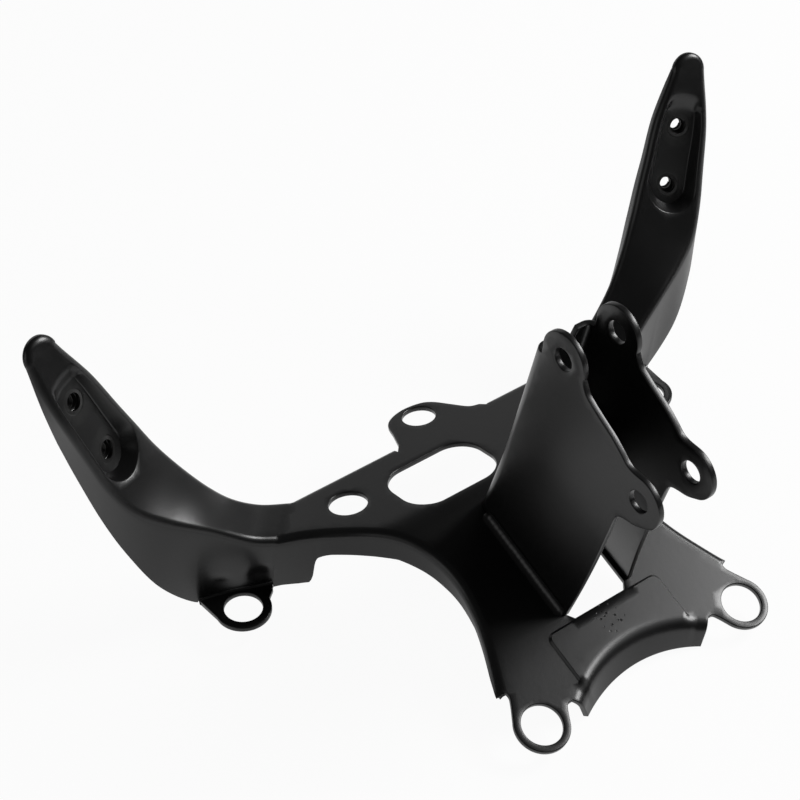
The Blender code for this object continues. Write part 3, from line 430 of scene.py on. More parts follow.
def pressed(value):
    """A pressed wall's profile: a straight ramp from 0 to 1 with a small round at its top and foot."""
    value = min(max(value, 0.0), 1.0)
    if value > 0.5:
        return 1.0 - pressed(1.0 - value)
    if value < PRESS_ROUND:
        return value * value / (2.0 * PRESS_ROUND * (1.0 - PRESS_ROUND))
    return (value - PRESS_ROUND / 2.0) / (1.0 - PRESS_ROUND)


def run_out(points):
    """The points with one more before the first and after the last, straight on."""
    pts = [np.array(p, float) for p in points]
    return [2 * pts[0] - pts[1]] + pts + [2 * pts[-1] - pts[-2]]


def spline(points, per_span):
    """A Catmull-Rom curve through the points, with every given point kept on it."""
    pts = run_out(points)
    out = []
    for a, b, c, d in zip(pts, pts[1:], pts[2:], pts[3:]):
        for k in range(per_span):
            t = k / per_span
            out.append(0.5 * ((2 * b) + (c - a) * t + (2 * a - 5 * b + 4 * c - d) * t * t
                              + (3 * b - a - 3 * c + d) * t ** 3))
    out.append(pts[-2])
    return out


def even_spline(points, per_span):
    """A curve through uneven points that doesn't swing out beside its short spans."""
    pts = run_out(points)
    out = []
    for four in zip(pts, pts[1:], pts[2:], pts[3:]):
        knots = [0.0]
        for a, b in zip(four, four[1:]):
            knots.append(knots[-1] + max(math.sqrt(float(np.linalg.norm(b - a))), 1e-6))
        for k in range(per_span):
            t = knots[1] + (knots[2] - knots[1]) * k / per_span
            row = four
            for a, z in ((knots[0:3], knots[1:4]), (knots[0:2], knots[2:4]), (knots[1:2], knots[2:3])):
                row = [(p * (z[i] - t) + q * (t - a[i])) / (z[i] - a[i])
                       for i, (p, q) in enumerate(zip(row, row[1:]))]
            out.append(row[0])
    out.append(pts[-2])
    return out


def circle(centre, radius, count, start=0.0, end=2 * math.pi, closed=True):
    """Points on an arc in the plane of the sheet."""
    steps = count if closed else count - 1
    return [np.array((centre[0] + radius * math.cos(start + (end - start) * i / steps),
                      centre[1] + radius * math.sin(start + (end - start) * i / steps)))
            for i in range(count)]


def rounded_rectangle(centre, size, corner):
    """Outline of an opening with round corners."""
    points = []
    for i, (sx, sy) in enumerate(((1, 1), (-1, 1), (-1, -1), (1, -1))):
        middle = (centre[0] + sx * (size[0] / 2 - corner), centre[1] + sy * (size[1] / 2 - corner))
        points += circle(middle, corner, 6 * FINE + 1, i * math.pi / 2, (i + 1) * math.pi / 2, closed=False)
    return points


def unit(vector):
    return vector / np.linalg.norm(vector)


def inset_line(points, distance):
    """Moves an open line of points to its left by a distance."""
    moved = []
    for i, point in enumerate(points):
        before = points[max(i - 1, 0)]
        after = points[min(i + 1, len(points) - 1)]
        run = unit(np.array(after[:2], float) - np.array(before[:2], float))
        moved.append(np.array(point[:2], float) + distance * np.array((-run[1], run[0])))
    return moved


def flattened(points):
    """The places in the flat of points given by x and y."""
    return [np.array((p[0], PROFILE.along(p[1]))) for p in points]


print("a pressed wall is straight over", 1 - 2 * PRESS_ROUND, "of its width")

# %% Outlines in the flat
def inside(point, loop):
    """Whether a point lies inside a closed outline."""
    x, y = point
    hit = False
    for (xi, yi), (xj, yj) in zip(loop, loop[-1:] + loop[:-1]):
        if (yi > y) != (yj > y) and x < (xj - xi) * (y - yi) / (yj - yi) + xi:
            hit = not hit
    return hit


def distance_to(point, loop):
    """Distance from a point to a closed outline."""
    a = np.array(loop)
    b = np.roll(a, -1, axis=0)
    run = b - a
    length = (run ** 2).sum(1)
    t = np.clip(((point - a) * run).sum(1) / np.maximum(length, 1e-9), 0, 1)
    return float(np.sqrt(((a + run * t[:, None] - point) ** 2).sum(1)).min())


print("a bore has", RING, "points")

# %% [markdown]
# A sheet is made as one surface that remembers a partner behind every point. Pressed steel
# isn't simply moved back by its thickness: inside a tight hollow the back is rounder than the
# front. So the level of the back is the envelope of small balls rolled along the front.

# %% A sheet with a front and a back
def new_point(bm, pair):
    """A point of the sheet's front, with the point behind it on the sheet's back."""
    vertex = bm.verts.new(pair[0])
    vertex[bm.verts.layers.float_vector["back"]] = pair[1]
    return vertex


def new_sheet():
    bm = bmesh.new()
    bm.verts.layers.float_vector.new("back")
    return bm


def grid_points(outline, openings, guides):
    """The points of an even grid that lie in an outline, clear of its openings and guide lines."""
    loops = [outline] + openings
    guide_points = [np.array(p) for line in guides for p in line]
    low = np.min(np.array(outline), axis=0)
    high = np.max(np.array(outline), axis=0)
    points = []
    row = 0
    y = low[1] + GRID / 2
    while y < high[1]:
        x = low[0] + GRID / 2 + (GRID / 2 if row % 2 else 0)
        while x < high[0]:
            p = np.array((x, y))
            clear = inside(p, outline) and not any(inside(p, o) for o in openings)
            clear = clear and all(distance_to(p, loop) > GRID * GRID_CLEAR for loop in loops)
            if clear and all(np.linalg.norm(p - g) > GRID * GUIDE_CLEAR for g in guide_points):
                points.append((x, y))
            x += GRID
        y += GRID * GRID_ROW
        row += 1
    return points


def fill_sheet(outline, openings, mapping, bm, guides=()):
    """Fills an outline with openings in the flat, and sets every point in space with the mapping."""
    points, edges, faces = [], [], []
    for loop in [outline] + openings:
        ring = list(range(len(points), len(points) + len(loop)))
        points += [tuple(p) for p in loop]
        edges += list(zip(ring, ring[1:] + ring[:1]))
        faces.append(ring)
    for line in guides:
        start = len(points)
        points += [tuple(p) for p in line]
        edges += [(start + i, start + i + 1) for i in range(len(line) - 1)]
    points += grid_points(outline, openings, guides)
    verts, _, tris, _, _, _ = delaunay_2d_cdt([Vector(p) for p in points], edges, faces, 2, 1e-5)
    made = {}
    for tri in tris:
        middle = sum((np.array(verts[i]) for i in tri), np.zeros(2)) / len(tri)
        if any(inside(middle, o) for o in openings):
            continue
        for i in tri:
            if i not in made:
                made[i] = new_point(bm, mapping(verts[i].x, verts[i].y))
        bm.faces.new([made[i] for i in tri])


print("points of the grid are", round(GRID, 2), "mm apart")

# %% Flanges and bends
def strip(bm, rows):
    """Joins rows of points with quads."""
    made = [[new_point(bm, pair) for pair in row] for row in rows]
    for a, b in zip(made, made[1:]):
        for i in range(len(a) - 1):
            bm.faces.new((a[i], a[i + 1], b[i + 1], b[i]))


def turned(start, end, share):
    """A direction between two others, by its share of the angle."""
    angle = math.acos(min(max(float(start.dot(end)), -1.0), 1.0))
    if angle < 1e-4:
        return start
    return unit(start * math.sin((1 - share) * angle) + end * math.sin(share * angle))


def bend(start, corner, end, first, last):
    """Points round a bend from one face to the next, front and back. first and last are their normals."""
    weight = math.sin(math.acos(float(unit(start - corner).dot(unit(end - corner)))) / 2)
    pairs = []
    for k in range(ARC + 1):
        t = k / ARC
        parts = ((1 - t) ** 2, 2 * t * (1 - t) * weight, t * t)
        front = (start * parts[0] + corner * parts[1] + end * parts[2]) / sum(parts)
        pairs.append((front, front - turned(first, last, t) * SHEET))
    return pairs


def bend_rows(edges, creases, feet, faces=None):
    """Rows of a flange, front and back: from the plate's edge round the bend and down to the foot."""
    rows = [[] for _ in range(ARC + 1 + FALL)]
    count = len(creases)
    for i, column in enumerate(zip(edges, creases, feet)):
        edge, crease, foot = (np.array(p, float) for p in column)
        along = unit(np.array(creases[min(i + 1, count - 1)]) - np.array(creases[max(i - 1, 0)]))
        fall = foot - crease
        turn = crease + unit(fall) * min(np.linalg.norm(edge - crease), BEND_MOST * np.linalg.norm(fall))
        first = unit(np.cross(along, edge - crease))
        side = 1.0 if first.dot(UP if faces is None else faces[i]) > 0 else -1.0
        last = unit(np.cross(along, fall)) * -side
        down = [turn + (foot - turn) * (k + 1) / FALL for k in range(FALL)]
        pairs = bend(edge, crease, turn, first * side, last) + [(p, p - last * SHEET) for p in down]
        for row, pair in zip(rows, pairs):
            row.append(pair)
    return rows


def add_copy(bm, sheet, side):
    """Copies a sheet into another one, mirrored to the other side where side is -1."""
    source = sheet.verts.layers.float_vector["back"]
    flip = Vector((side, 1.0, 1.0))
    made = {v: new_point(bm, (v.co * flip, v[source] * flip)) for v in sheet.verts}
    for face in sheet.faces:
        corners = [made[v] for v in face.verts]
        bm.faces.new(corners[::-1] if side < 0 else corners)


def mirrored(points):
    """The same points on the other side of the symmetry plane."""
    return [np.array((-p[0], *p[1:])) for p in points]


BALL_RINGS = 3
BALL_POINTS = 10


def rolled_back(relief, x, y):
    """Level of the sheet's back: the envelope of balls of the sheet's thickness on the front relief."""
    low = relief(x, y) - SHEET
    for i in range(1, BALL_RINGS + 1):
        reach = SHEET * i / BALL_RINGS
        sink = math.sqrt(SHEET ** 2 - reach ** 2)
        for k in range(BALL_POINTS):
            a = 2 * math.pi * k / BALL_POINTS
            low = min(low, relief(x + reach * math.cos(a), y + reach * math.sin(a)) - sink)
    return low


print("sheet", SHEET, "mm thick")

# %% [markdown]
# A sheared and tumbled edge is never a knife edge. Every rim gets a small round on both sides,
# which is what catches the light as the thin bright line along the holes and the outline.

# %% Closing the sheet with rounded rims
RIM_ROUND = 0.55
RIM_STEPS = 3
SHARP = math.radians(35)    # an edge with a greater angle is shaded sharp


def rim_arc(front, back, outward):
    """Points across a rim, from just inside the front edge to just inside the back edge."""
    depth = (front - back).length
    down = (back - front) / depth
    points = []
    for step in range(RIM_STEPS + 1):
        a = math.pi / 2 * step / RIM_STEPS
        points.append((RIM_ROUND * (math.sin(a) - 1.0), RIM_ROUND * (1.0 - math.cos(a))))
    points += [(out, depth - sunk) for out, sunk in reversed(points)]
    return [front + outward * out + down * sunk for out, sunk in points]


def thicken(bm):
    """Closes the sheet into a solid: a partner behind every point, and a rounded rim on every open edge."""
    layer = bm.verts.layers.float_vector["back"]
    fronts = list(bm.faces)
    rims = [edge.link_loops[0] for edge in bm.edges if len(edge.link_faces) == 1]
    rims = [(loop.vert, loop.link_loop_next.vert) for loop in rims]
    outward = {}
    for a, b in rims:
        run = (b.co - a.co).normalized()
        across = ((a.co - a[layer]) + (b.co - b[layer])).normalized()
        for vertex in (a, b):
            outward[vertex] = outward.get(vertex, Vector()) + run.cross(across)
    arcs = {}
    for vertex, way in outward.items():
        across = (vertex.co - vertex[layer]).normalized()
        way = (way - across * way.dot(across)).normalized()
        arcs[vertex] = rim_arc(vertex.co, Vector(vertex[layer]), way)
    partner = {vertex: bm.verts.new(vertex[layer]) for vertex in list(bm.verts)}
    for face in fronts:
        bm.faces.new([partner[vertex] for vertex in reversed(face.verts)])
    rows = {}
    for vertex, arc in arcs.items():
        vertex.co = arc[0]
        partner[vertex].co = arc[-1]
        rows[vertex] = [vertex] + [bm.verts.new(p) for p in arc[1:-1]] + [partner[vertex]]
    for a, b in rims:
        for k in range(len(rows[a]) - 1):
            bm.faces.new((rows[b][k], rows[a][k], rows[a][k + 1], rows[b][k + 1]))
    bmesh.ops.recalc_face_normals(bm, faces=bm.faces)


def to_mesh(name, bm):
    """Turns a bmesh into a mesh."""
    mesh = bpy.data.meshes.new(name)
    bm.to_mesh(mesh)
    bm.free()
    return mesh


def make_object(name, bm, material):
    """Turns a bmesh in the CAD's millimetres into a smooth painted object in metres."""
    bmesh.ops.translate(bm, vec=-Vector(ORIGIN), verts=bm.verts)
    bmesh.ops.scale(bm, vec=(MM, MM, MM), verts=bm.verts)
    mesh = to_mesh(name, bm)
    mesh.materials.append(material)
    mesh.shade_smooth()
    mesh.set_sharp_from_angle(angle=SHARP)
    print(name, len(mesh.polygons), "faces")
    return new_object(name, mesh)


print("rims rounded to", RIM_ROUND, "mm")

# %% [markdown]
# Between the horns the plate is a crossmember with an oblong opening for the loom, two round
# ports and an off-centre lug. In front it forks into two legs with grommet eyelets, joined by a
# band with a raised pad. Its outline is given by points, and its flanges by where they end.

# %% Sizes of the crossmember, the legs and the band
REAR_EDGE_Y = 170.3
LUG_X = 4.2                 # centre of the rear lug's hole
LUG_Y = 184.4
LUG_BORE = 18.0
LUG_FREE = 4.0              # width beside its root where the rear edge has no flange
LUG_OUTLINE = (             # round the lug from its right root, measured from the hole's centre
    (30.0, -14.1), (24.6, -11.6), (19.2, -2.8), (14.2, 5.4), (8.6, 9.8), (-1.2, 11.6), (-10.4, 9.8),
    (-16.8, 5.0), (-20.0, -4.0), (-24.0, -14.1),
)
SLOT_CENTRE = (-19.3, 134.0)
SLOT_SIZE = (56.0, 38.0)
SLOT_CORNER = 15.0
PORT_X = 69.0
PORT_Y = 147.1
PORT_BORE = 20.0

EYELET_X = 64.6
EYELET_Y = -2.0
EYELET_BORE = 20.8
EYELET_RADIUS = 14.1
LEG_CORNER = (72.2, 19.6)
EYELET_TURN = (math.radians(35), math.radians(-153))    # where its round outline starts and ends
LEG_NECK = ((70.3, 18.6), (70.0, 16.2), (71.2, 13.6))   # hollow between the leg's corner and the eyelet
LIP_NECK = ((48.9, -2.3), (47.2, -0.2))     # hollow between the eyelet and the front lip
PAD_HALF_WIDTH = 35.0
PAD_REAR_Y = 31.0
PAD_RISE = 1.3
PAD_SLOPE = 1.3
PAD_CORNER = 4.0            # radius of the pad's rear corners
WINDOW_HALF_WIDTH = 18.6
WINDOW_FRONT_Y = 32.0
WINDOW_REAR_Y = 86.0
WINDOW_CHAMFER = 2.6
WINDOW_REAR_CORNER = ((0, 6), (2, 2), (6, 0))   # its rear corner, measured in from the square one
LIP_HALF_WIDTH = 41.0
LIP_CREASE_Y = 10.5
LIP_CREASE_END_Y = -3.4
LIP_FOOT_Y = 4.2
LIP_FOOT_END_Y = -4.0
LIP_FOOT_HALF_WIDTH = 36.8
LIP_FOOT_Z = -4.0
LIP_FOOT_END_Z = -8.6

# From the horn's root to the leg's corner: x and y of the crease, height of the flange's foot, lean
FRONT_EDGE = (
    (103.7, 142.0, 0.6, -2.6), (99.6, 139.5, 1.4, -2.2), (98.2, 138.6, 5.8, -1.8), (97.2, 137.9, 14.6, -1.2),
    (95.6, 136.8, 19.8, -1.0), (90.0, 132.6, 23.2, 0.0), (77.9, 121.5, 24.3, 0.0), (66.9, 107.6, 26.0, 0.0),
    (60.2, 95.0, 23.6, 0.0), (57.0, 83.0, 20.8, 0.0), (56.8, 70.5, 19.0, 0.0), (59.6, 55.9, 16.8, 0.0),
    (63.3, 43.5, 13.6, 0.8), (68.6, 29.5, 10.4, 1.8),
)
LEG_END_FOOT = 9.0
LEG_END_LEAN = 2.4
LEG_END_INSET = 3.2
LEG_END_POINTS = 5.0        # the bend gets tighter over so many points of the outline
ROOT_LEAN = -4.0            # lean of the foot at the horn's root


def pad_rise(x, s):
    """How far the front band's pad is pressed up at a point."""
    side = PAD_HALF_WIDTH - abs(x)
    rear = PROFILE.along(PAD_REAR_Y) - s
    reach = min(side, rear)
    if max(side, rear) < PAD_CORNER:
        reach = PAD_CORNER - math.hypot(PAD_CORNER - side, PAD_CORNER - rear)
    return PAD_RISE * pressed((reach + PAD_SLOPE / 2) / PAD_SLOPE)


def body_at(x, s, level):
    y, z, slope = PROFILE.at(s)
    return np.array((x, y - level * math.sin(slope), z + level * math.cos(slope)))


def body_point(x, s):
    """A point of the plate's upper face."""
    return body_at(x, s, pad_rise(x, s))


def body_pair(x, s):
    """A point of the plate's upper face and the one behind it."""
    return body_point(x, s), body_at(x, s, rolled_back(pad_rise, x, s))


def lug_outline():
    """Rear lug, from its right root round to its left root, in the flat."""
    marks = [np.array((LUG_X + x, PROFILE.along(LUG_Y) + s)) for x, s in LUG_OUTLINE]
    marks[0][1] = marks[-1][1] = PROFILE.along(REAR_EDGE_Y)
    return spline(marks, 2 * FINE)


def lip_arc(y_middle, y_end, half_width):
    """An arc across the front band, from the right end to the left end."""
    count = 18 * FINE + 1
    rise = y_middle - y_end
    radius = (half_width ** 2 + rise ** 2) / (2 * rise)
    half = math.asin(half_width / radius)
    return [np.array((radius * math.sin(a), y_middle - radius + radius * math.cos(a)))
            for a in (half - 2 * half * i / (count - 1) for i in range(count))]


print("front pad raised", PAD_RISE, "mm")

# %% [markdown]
# A horn is a twisted web between two edges. Twelve stations give those edges in space, and a
# smooth curve joins them. A point on the web is then given by its distance u from the root and
# w from the middle. The mirror pad is pressed into it, with two screw holes in shallow rings.

# %% The horn as a rule
HORN_STATIONS = (
    ((88.0, 170.3), (113.0, 146.3)),
    ((103.6, 173.9, 35.8), (124.7, 149.8, 39.7)),
    ((117.6, 176.2, 45.8), (136.0, 153.0, 47.6)),
    ((129.2, 177.6, 59.1), (149.5, 155.6, 57.8)),
    ((140.6, 181.0, 75.3), (165.8, 160.0, 68.6)),
    ((150.7, 185.9, 91.8), (178.8, 164.6, 79.8)),
    ((158.4, 189.9, 107.7), (187.4, 170.6, 95.0)),
    ((164.8, 193.2, 121.2), (193.4, 176.6, 113.5)),
    ((171.7, 196.9, 136.4), (198.8, 182.1, 130.3)),
    ((179.9, 199.9, 152.5), (203.8, 189.0, 147.3)),
    ((186.7, 201.7, 165.2), (207.5, 195.3, 161.3)),
    ((190.4, 202.5, 172.6), (209.1, 198.5, 169.2)),
)
HORN_TIP_RADIUS = 9.5
HORN_TIP_TAPER = 30.0       # length over which the web narrows to that radius
HORN_INSET_LENGTH = 60.0    # length over which the bends get tighter
FLANGE_FOOT = (
    (113.5, 150.3, 0.0), (125.5, 155.0, 0.0), (137.0, 159.4, 0.0), (151.0, 162.8, 2.0),
    (170.0, 163.6, 24.5), (182.6, 168.4, 50.5), (190.4, 175.0, 73.0), (196.4, 183.0, 97.5),
    (201.0, 189.5, 119.0), (205.8, 194.8, 139.5), (208.9, 199.2, 156.5),
)
REAR_FLANGE_DEPTH = (6.0, 7.0, 8.0, 9.0, 9.6, 9.4, 8.2, 7.2, 6.4, 5.6, 4.6)
REAR_FLANGE_TURN = 45.0     # length over which it turns from upright to square with the web
TIP_RIM = 3.0               # depth of the flange round the tip

EAR_X = 135.0
EAR_Y = 145.6
EAR_RADIUS = 14.3
EAR_BORE = 19.4
EAR_TOP_Z = 2.8
EAR_BEND = 1.6
EAR_TURN = (math.radians(190), math.radians(368))   # where its round outline starts and ends
EAR_SHOULDER = 2.5          # how far forward its outline runs straight, beside the horn
EAR_SHOULDER_OUT = 0.5
EAR_STATIONS = 3            # it hangs on the flange between the root and this station

SCREW_STATIONS = (109.3, 142.0)
SCREW_BORE = 7.6
PAD_DEPTH = 7.2             # at the lower screw
PAD_TILT = 0.07             # how fast it gets shallower up the horn
PAD_WALL = 5.0              # width of its wall at the lower screw
PAD_TOP = 161.0
PAD_RAMP = 10.0
SCREW_RING = 6.0            # radius of the shallow ring pressed round each screw hole
SCREW_RING_DEPTH = 0.35
SCREW_RING_WIDTH = 1.1
TIP_BLEND = 34.0            # length over which the outer flange runs out into the tip's rim
TIP_BLEND_POWER = 1.3
TIP_CLEAR = 2.0 / FINE      # the last station before the tip's arc is at least this far from it
HORN_STEP = 2.0             # the horn's direction is taken over this much to either side
PAD_FOOT_TURN = (math.radians(97), math.radians(263))   # the round foot of the pad
RAMP_SIDE_GAP = 1.5         # the lines of the pad's ramp end this far inside the bends
PAD_ARCH = 40.0             # the ramp at the pad's top is arched: its ends lie lower
WALL_SHARES = (0.03, 0.08, 0.15, 0.32, 0.5, 0.68, 0.85, 0.92, 0.97)   # lines down the pad's wall
DIMPLE_DEPTH = 1.5
DIMPLES = ((121.0, 12.0, 7.0, 6.0), (139.5, 9.5, 7.5, 6.0))   # x, z, half width and half height


class Horn:
    """The right horn's web: a centre line, a direction across it and a half width at each station."""

    def __init__(self):
        inner, outer = [], []
        for a, b in HORN_STATIONS:
            for line, point in ((inner, a), (outer, b)):        # a root point lies on the plate
                line.append(point if len(point) == 3 else (*point, PROFILE.height(point[1])))
        self.inner = np.array(spline(inner, SPAN))
        self.outer = np.array(spline(outer, SPAN))
        self.centre = (self.inner + self.outer) / 2
        steps = np.linalg.norm(np.diff(self.centre, axis=0), axis=1)
        self.length = np.concatenate(([0.0], np.cumsum(steps)))
        self.half = np.linalg.norm(self.outer - self.inner, axis=1) / 2
        self.across = (self.outer - self.inner) / (2 * self.half[:, None])
        self.tip = self.length[-1]

    def value(self, table, u):
        return np.array([np.interp(u, self.length, table[:, k]) for k in range(table.shape[1])])

    def frame(self, u):
        """Centre, direction across and outward normal at a distance u from the root."""
        centre = self.value(self.centre, u)
        across = unit(self.value(self.across, u))
        after = self.value(self.centre, min(u + HORN_STEP, self.tip))
        before = self.value(self.centre, max(u - HORN_STEP, 0.0))
        normal = unit(np.cross(after - before, across))
        return centre, across, normal if normal[2] > 0 else -normal

    def half_width(self, u):
        """The web's half width, drawn in smoothly to the radius of the tip."""
        end = self.tip - HORN_TIP_RADIUS
        plain = float(np.interp(u, self.length, self.half))
        last = float(np.interp(end, self.length, self.half))
        return plain + (HORN_TIP_RADIUS - last) * smooth_step((u - end) / HORN_TIP_TAPER + 1.0)

    def inset(self, u):
        """The bend is wide at the root, as on the crossmember, and tighter up the horn."""
        return BEND_INSET + (HORN_INSET - BEND_INSET) * smooth_step(u / HORN_INSET_LENGTH)

    def flat_half(self, u):
        """Half width of the web between the bends of its two flanges."""
        return self.half_width(u) - self.inset(u)

    def pad_floor(self, u):
        """Depth of the mirror pad's floor, which gets shallower up the horn."""
        return PAD_DEPTH - PAD_TILT * (u - SCREW_STATIONS[0])

    def pad_wall(self, u):
        """Width of the pad's wall, in step with its depth."""
        return PAD_WALL * self.pad_floor(u) / PAD_DEPTH

    def depth(self, u, w):
        """How far the mirror pad is pressed in at a point."""
        foot = SCREW_STATIONS[0]
        reach = self.flat_half(u) - abs(w)
        if u < foot:
            reach = self.flat_half(foot) - math.hypot(u - foot, w)
        level = self.pad_floor(u) * pressed(reach / self.pad_wall(u))
        return level * smooth_step((PAD_TOP - u - w * w / PAD_ARCH) / PAD_RAMP)

    def at(self, u, w, level):
        centre, across, normal = self.frame(u)
        return centre + across * w + normal * level

    def relief(self, u, w):
        """Level of the web's front face: the pad, with a shallow ring round each screw hole."""
        level = -self.depth(u, w)
        for screw in SCREW_STATIONS:
            off = abs(math.hypot(u - screw, w) - SCREW_RING) / SCREW_RING_WIDTH
            if off < 1.0:
                level -= SCREW_RING_DEPTH * (1.0 - smooth_step(off))
        return level

    def point(self, u, w):
        """A point of the web's front face."""
        return self.at(u, w, self.relief(u, w))

    def pair(self, u, w):
        """A point of the web's front face and the one behind it."""
        return self.point(u, w), self.at(u, w, rolled_back(self.relief, u, w))


HORN = Horn()
print("horn", round(float(HORN.tip), 1), "mm long")

# %% [markdown]
# Now the body is folded up. The flat outline runs along every crease, so the flanges are added
# as rows of points that turn round the bend and run straight down to their foot.

# %% Flanges of the crossmember, the legs and the band
def front_edge_chain():
    """The right side's front crease in the flat, with the height and the lean of the flange's foot."""
    marks = [(*HORN_STATIONS[0][1], FLANGE_FOOT[0][2], ROOT_LEAN), *FRONT_EDGE,
             (*LEG_CORNER, LEG_END_FOOT, LEG_END_LEAN)]
    line = spline(flattened(marks), 2 * FINE)
    steps = np.arange(len(line)) / (2 * FINE)
    foot, lean = (np.interp(steps, np.arange(len(marks)), [m[k] for m in marks]) for k in (2, 3))
    return line, foot, lean


def horn_root():
    """Points across the horn's root, between the bends of its two flanges."""
    reach = HORN.half[0] - BEND_INSET
    return [HORN.point(0.0, w) for w in np.linspace(-reach, reach, 6 * FINE + 1)]


def front_flange():
    """The flange from the right horn's root to the leg's corner: its flat crease and edge, and its rows."""
    creases, foot_z, lean = front_edge_chain()
    count = len(creases)
    taper = [smooth_step((count - 1 - i) / (LEG_END_POINTS * FINE)) for i in range(count)]
    inset = [LEG_END_INSET + (BEND_INSET - LEG_END_INSET) * t for t in taper]
    outward = [o - c for o, c in zip(inset_line(creases, 1.0), creases)]
    edge = [c - o * d for c, o, d in zip(creases, outward, inset)]
    edge[0] = flattened(horn_root())[-1]
    crease_points = [body_point(*c) for c in creases]
    crease_points[0] = HORN.point(0.0, HORN.half[0])
    feet = [np.array((c[0] + o[0] * d, c[1] + o[1] * d, z))
            for c, o, d, z in zip(crease_points, outward, lean, foot_z)]
    feet[0] = np.array(FLANGE_FOOT[0])
    return creases, edge, bend_rows([body_point(*e) for e in edge], crease_points, feet)


def build_front_lip(bm, lip, lip_edge):
    """The flange under the front band."""
    foot = lip_arc(LIP_FOOT_Y, LIP_FOOT_END_Y, LIP_FOOT_HALF_WIDTH)
    fall = LIP_FOOT_Z - LIP_FOOT_END_Z
    foot = [(x, y, LIP_FOOT_Z - fall * (x / LIP_FOOT_HALF_WIDTH) ** 2) for x, y in foot]
    strip(bm, bend_rows([body_point(*p) for p in lip_edge], [body_point(*p) for p in lip], foot))


def build_rear_flange(bm, right_line, left_line):
    """The flange along the rear edge, on both sides of the lug, up to the horns."""
    rear_s = PROFILE.along(REAR_EDGE_Y)
    fall = np.array((0, 0, REAR_FLANGE_DEPTH[0]))
    at_horn = (horn_root()[0], HORN.point(0.0, -HORN.half[0]))
    right, left = ([(body_point(*p), body_at(p[0], rear_s, 0.0)) for p in line]
                   for line in (right_line, left_line))
    for pairs in (right + [at_horn], [mirrored(at_horn)] + left):
        top, corner = zip(*pairs)
        strip(bm, bend_rows(top, corner, [c - fall for c in corner]))


print("front crease has", len(front_edge_chain()[0]), "points")

# %% [markdown]
# The openings are closed outlines inside the plate's own. Where the front pad steps up, the mesh
# gets lines to follow, because a step across an even grid would look ragged.

# %% Openings, and the body itself
def body_openings():
    """The oblong opening, the window between the legs and the round holes, in the flat."""
    front, rear = (PROFILE.along(y) for y in (WINDOW_FRONT_Y, WINDOW_REAR_Y))
    window = [np.array((WINDOW_HALF_WIDTH - WINDOW_CHAMFER, front)),
              np.array((WINDOW_HALF_WIDTH, front + WINDOW_CHAMFER + 1))]
    window += [np.array((WINDOW_HALF_WIDTH - x, rear - s)) for x, s in WINDOW_REAR_CORNER]
    openings = [rounded_rectangle(flattened([SLOT_CENTRE])[0], SLOT_SIZE, SLOT_CORNER),
                window + mirrored(window)[::-1]]
    holes = [(LUG_X, LUG_Y, LUG_BORE)]
    for way in (1, -1):
        holes += [(way * PORT_X, PORT_Y, PORT_BORE), (way * EYELET_X, EYELET_Y, EYELET_BORE)]
    return openings + [circle((x, PROFILE.along(y)), bore / 2, RING) for x, y, bore in holes]


PAD_LINE_START = 0.5        # the pad's lines start this far behind the lip's bend
PAD_LINE_END = 2.0          # and end this far beside the window


def pad_guides(lip_edge):
    """Lines that the mesh follows down the step of the front pad."""
    lip_xs, lip_ss = np.array(lip_edge[::-1]).T
    rear = PROFILE.along(PAD_REAR_Y)
    middle = (PAD_HALF_WIDTH - PAD_CORNER, rear - PAD_CORNER)
    guides = []
    for offset in np.linspace(-PAD_SLOPE / 2, PAD_SLOPE / 2, 2 * FINE):
        x = PAD_HALF_WIDTH + offset
        start = float(np.interp(x, lip_xs, lip_ss)) + PAD_LINE_START
        line = [np.array((x, s)) for s in np.linspace(start, rear - PAD_CORNER, 4 * FINE)]
        line += circle(middle, PAD_CORNER + offset, 3 * FINE + 2, 0.0, math.pi / 2, closed=False)[1:]
        line.append(np.array((WINDOW_HALF_WIDTH + PAD_LINE_END, rear + offset)))
        guides += [line, mirrored(line)]
    return guides


def build_body(bm):
    """The plate between the horns, with the flanges along its front, its legs and its rear edge."""
    points_per_span = 2 * FINE
    eyelet = flattened([(EYELET_X, EYELET_Y)])[0]
    ring = circle(eyelet, EYELET_RADIUS, 19 * FINE + 1, *EYELET_TURN, closed=False)
    lip = flattened(lip_arc(LIP_CREASE_Y, LIP_CREASE_END_Y, LIP_HALF_WIDTH))
    lip_edge = inset_line(lip, -BEND_INSET)
    creases, edge, rows = front_flange()
    neck = even_spline([creases[-1]] + flattened(LEG_NECK) + [ring[0]], points_per_span)[1:-1]
    notch = even_spline([ring[-1]] + flattened(LIP_NECK) + [lip_edge[0]], points_per_span)[1:-1]
    root = flattened(horn_root())
    lug = lug_outline()
    right_xs = np.linspace(lug[0][0] + LUG_FREE, root[0][0], 5 * FINE + 1)[:-1]
    left_xs = -np.linspace(root[0][0], LUG_FREE - lug[-1][0], 6 * FINE + 1)[1:]
    right_rear, left_rear = ([np.array((x, PROFILE.along(REAR_EDGE_Y) - BEND_INSET)) for x in xs]
                             for xs in (right_xs, left_xs))
    side = root + edge[1:] + neck + ring + notch
    outline = right_rear + side + lip_edge + mirrored(side)[::-1] + left_rear + lug[::-1]
    fill_sheet(outline, body_openings(), body_pair, bm, guides=pad_guides(lip_edge))
    strip(bm, rows)
    strip(bm, [[tuple(mirrored(pair)) for pair in row] for row in rows])
    build_front_lip(bm, lip, lip_edge)
    build_rear_flange(bm, right_rear, left_rear)


print("openings:", len(body_openings()))

# %% [markdown]
# The horn's web is filled in its own flat of u and w, again with lines along the pad's wall and
# ramp. Its flange runs up the outside, round the tip and down the inside, and the ear is bent
# forward from the foot of its outer part.

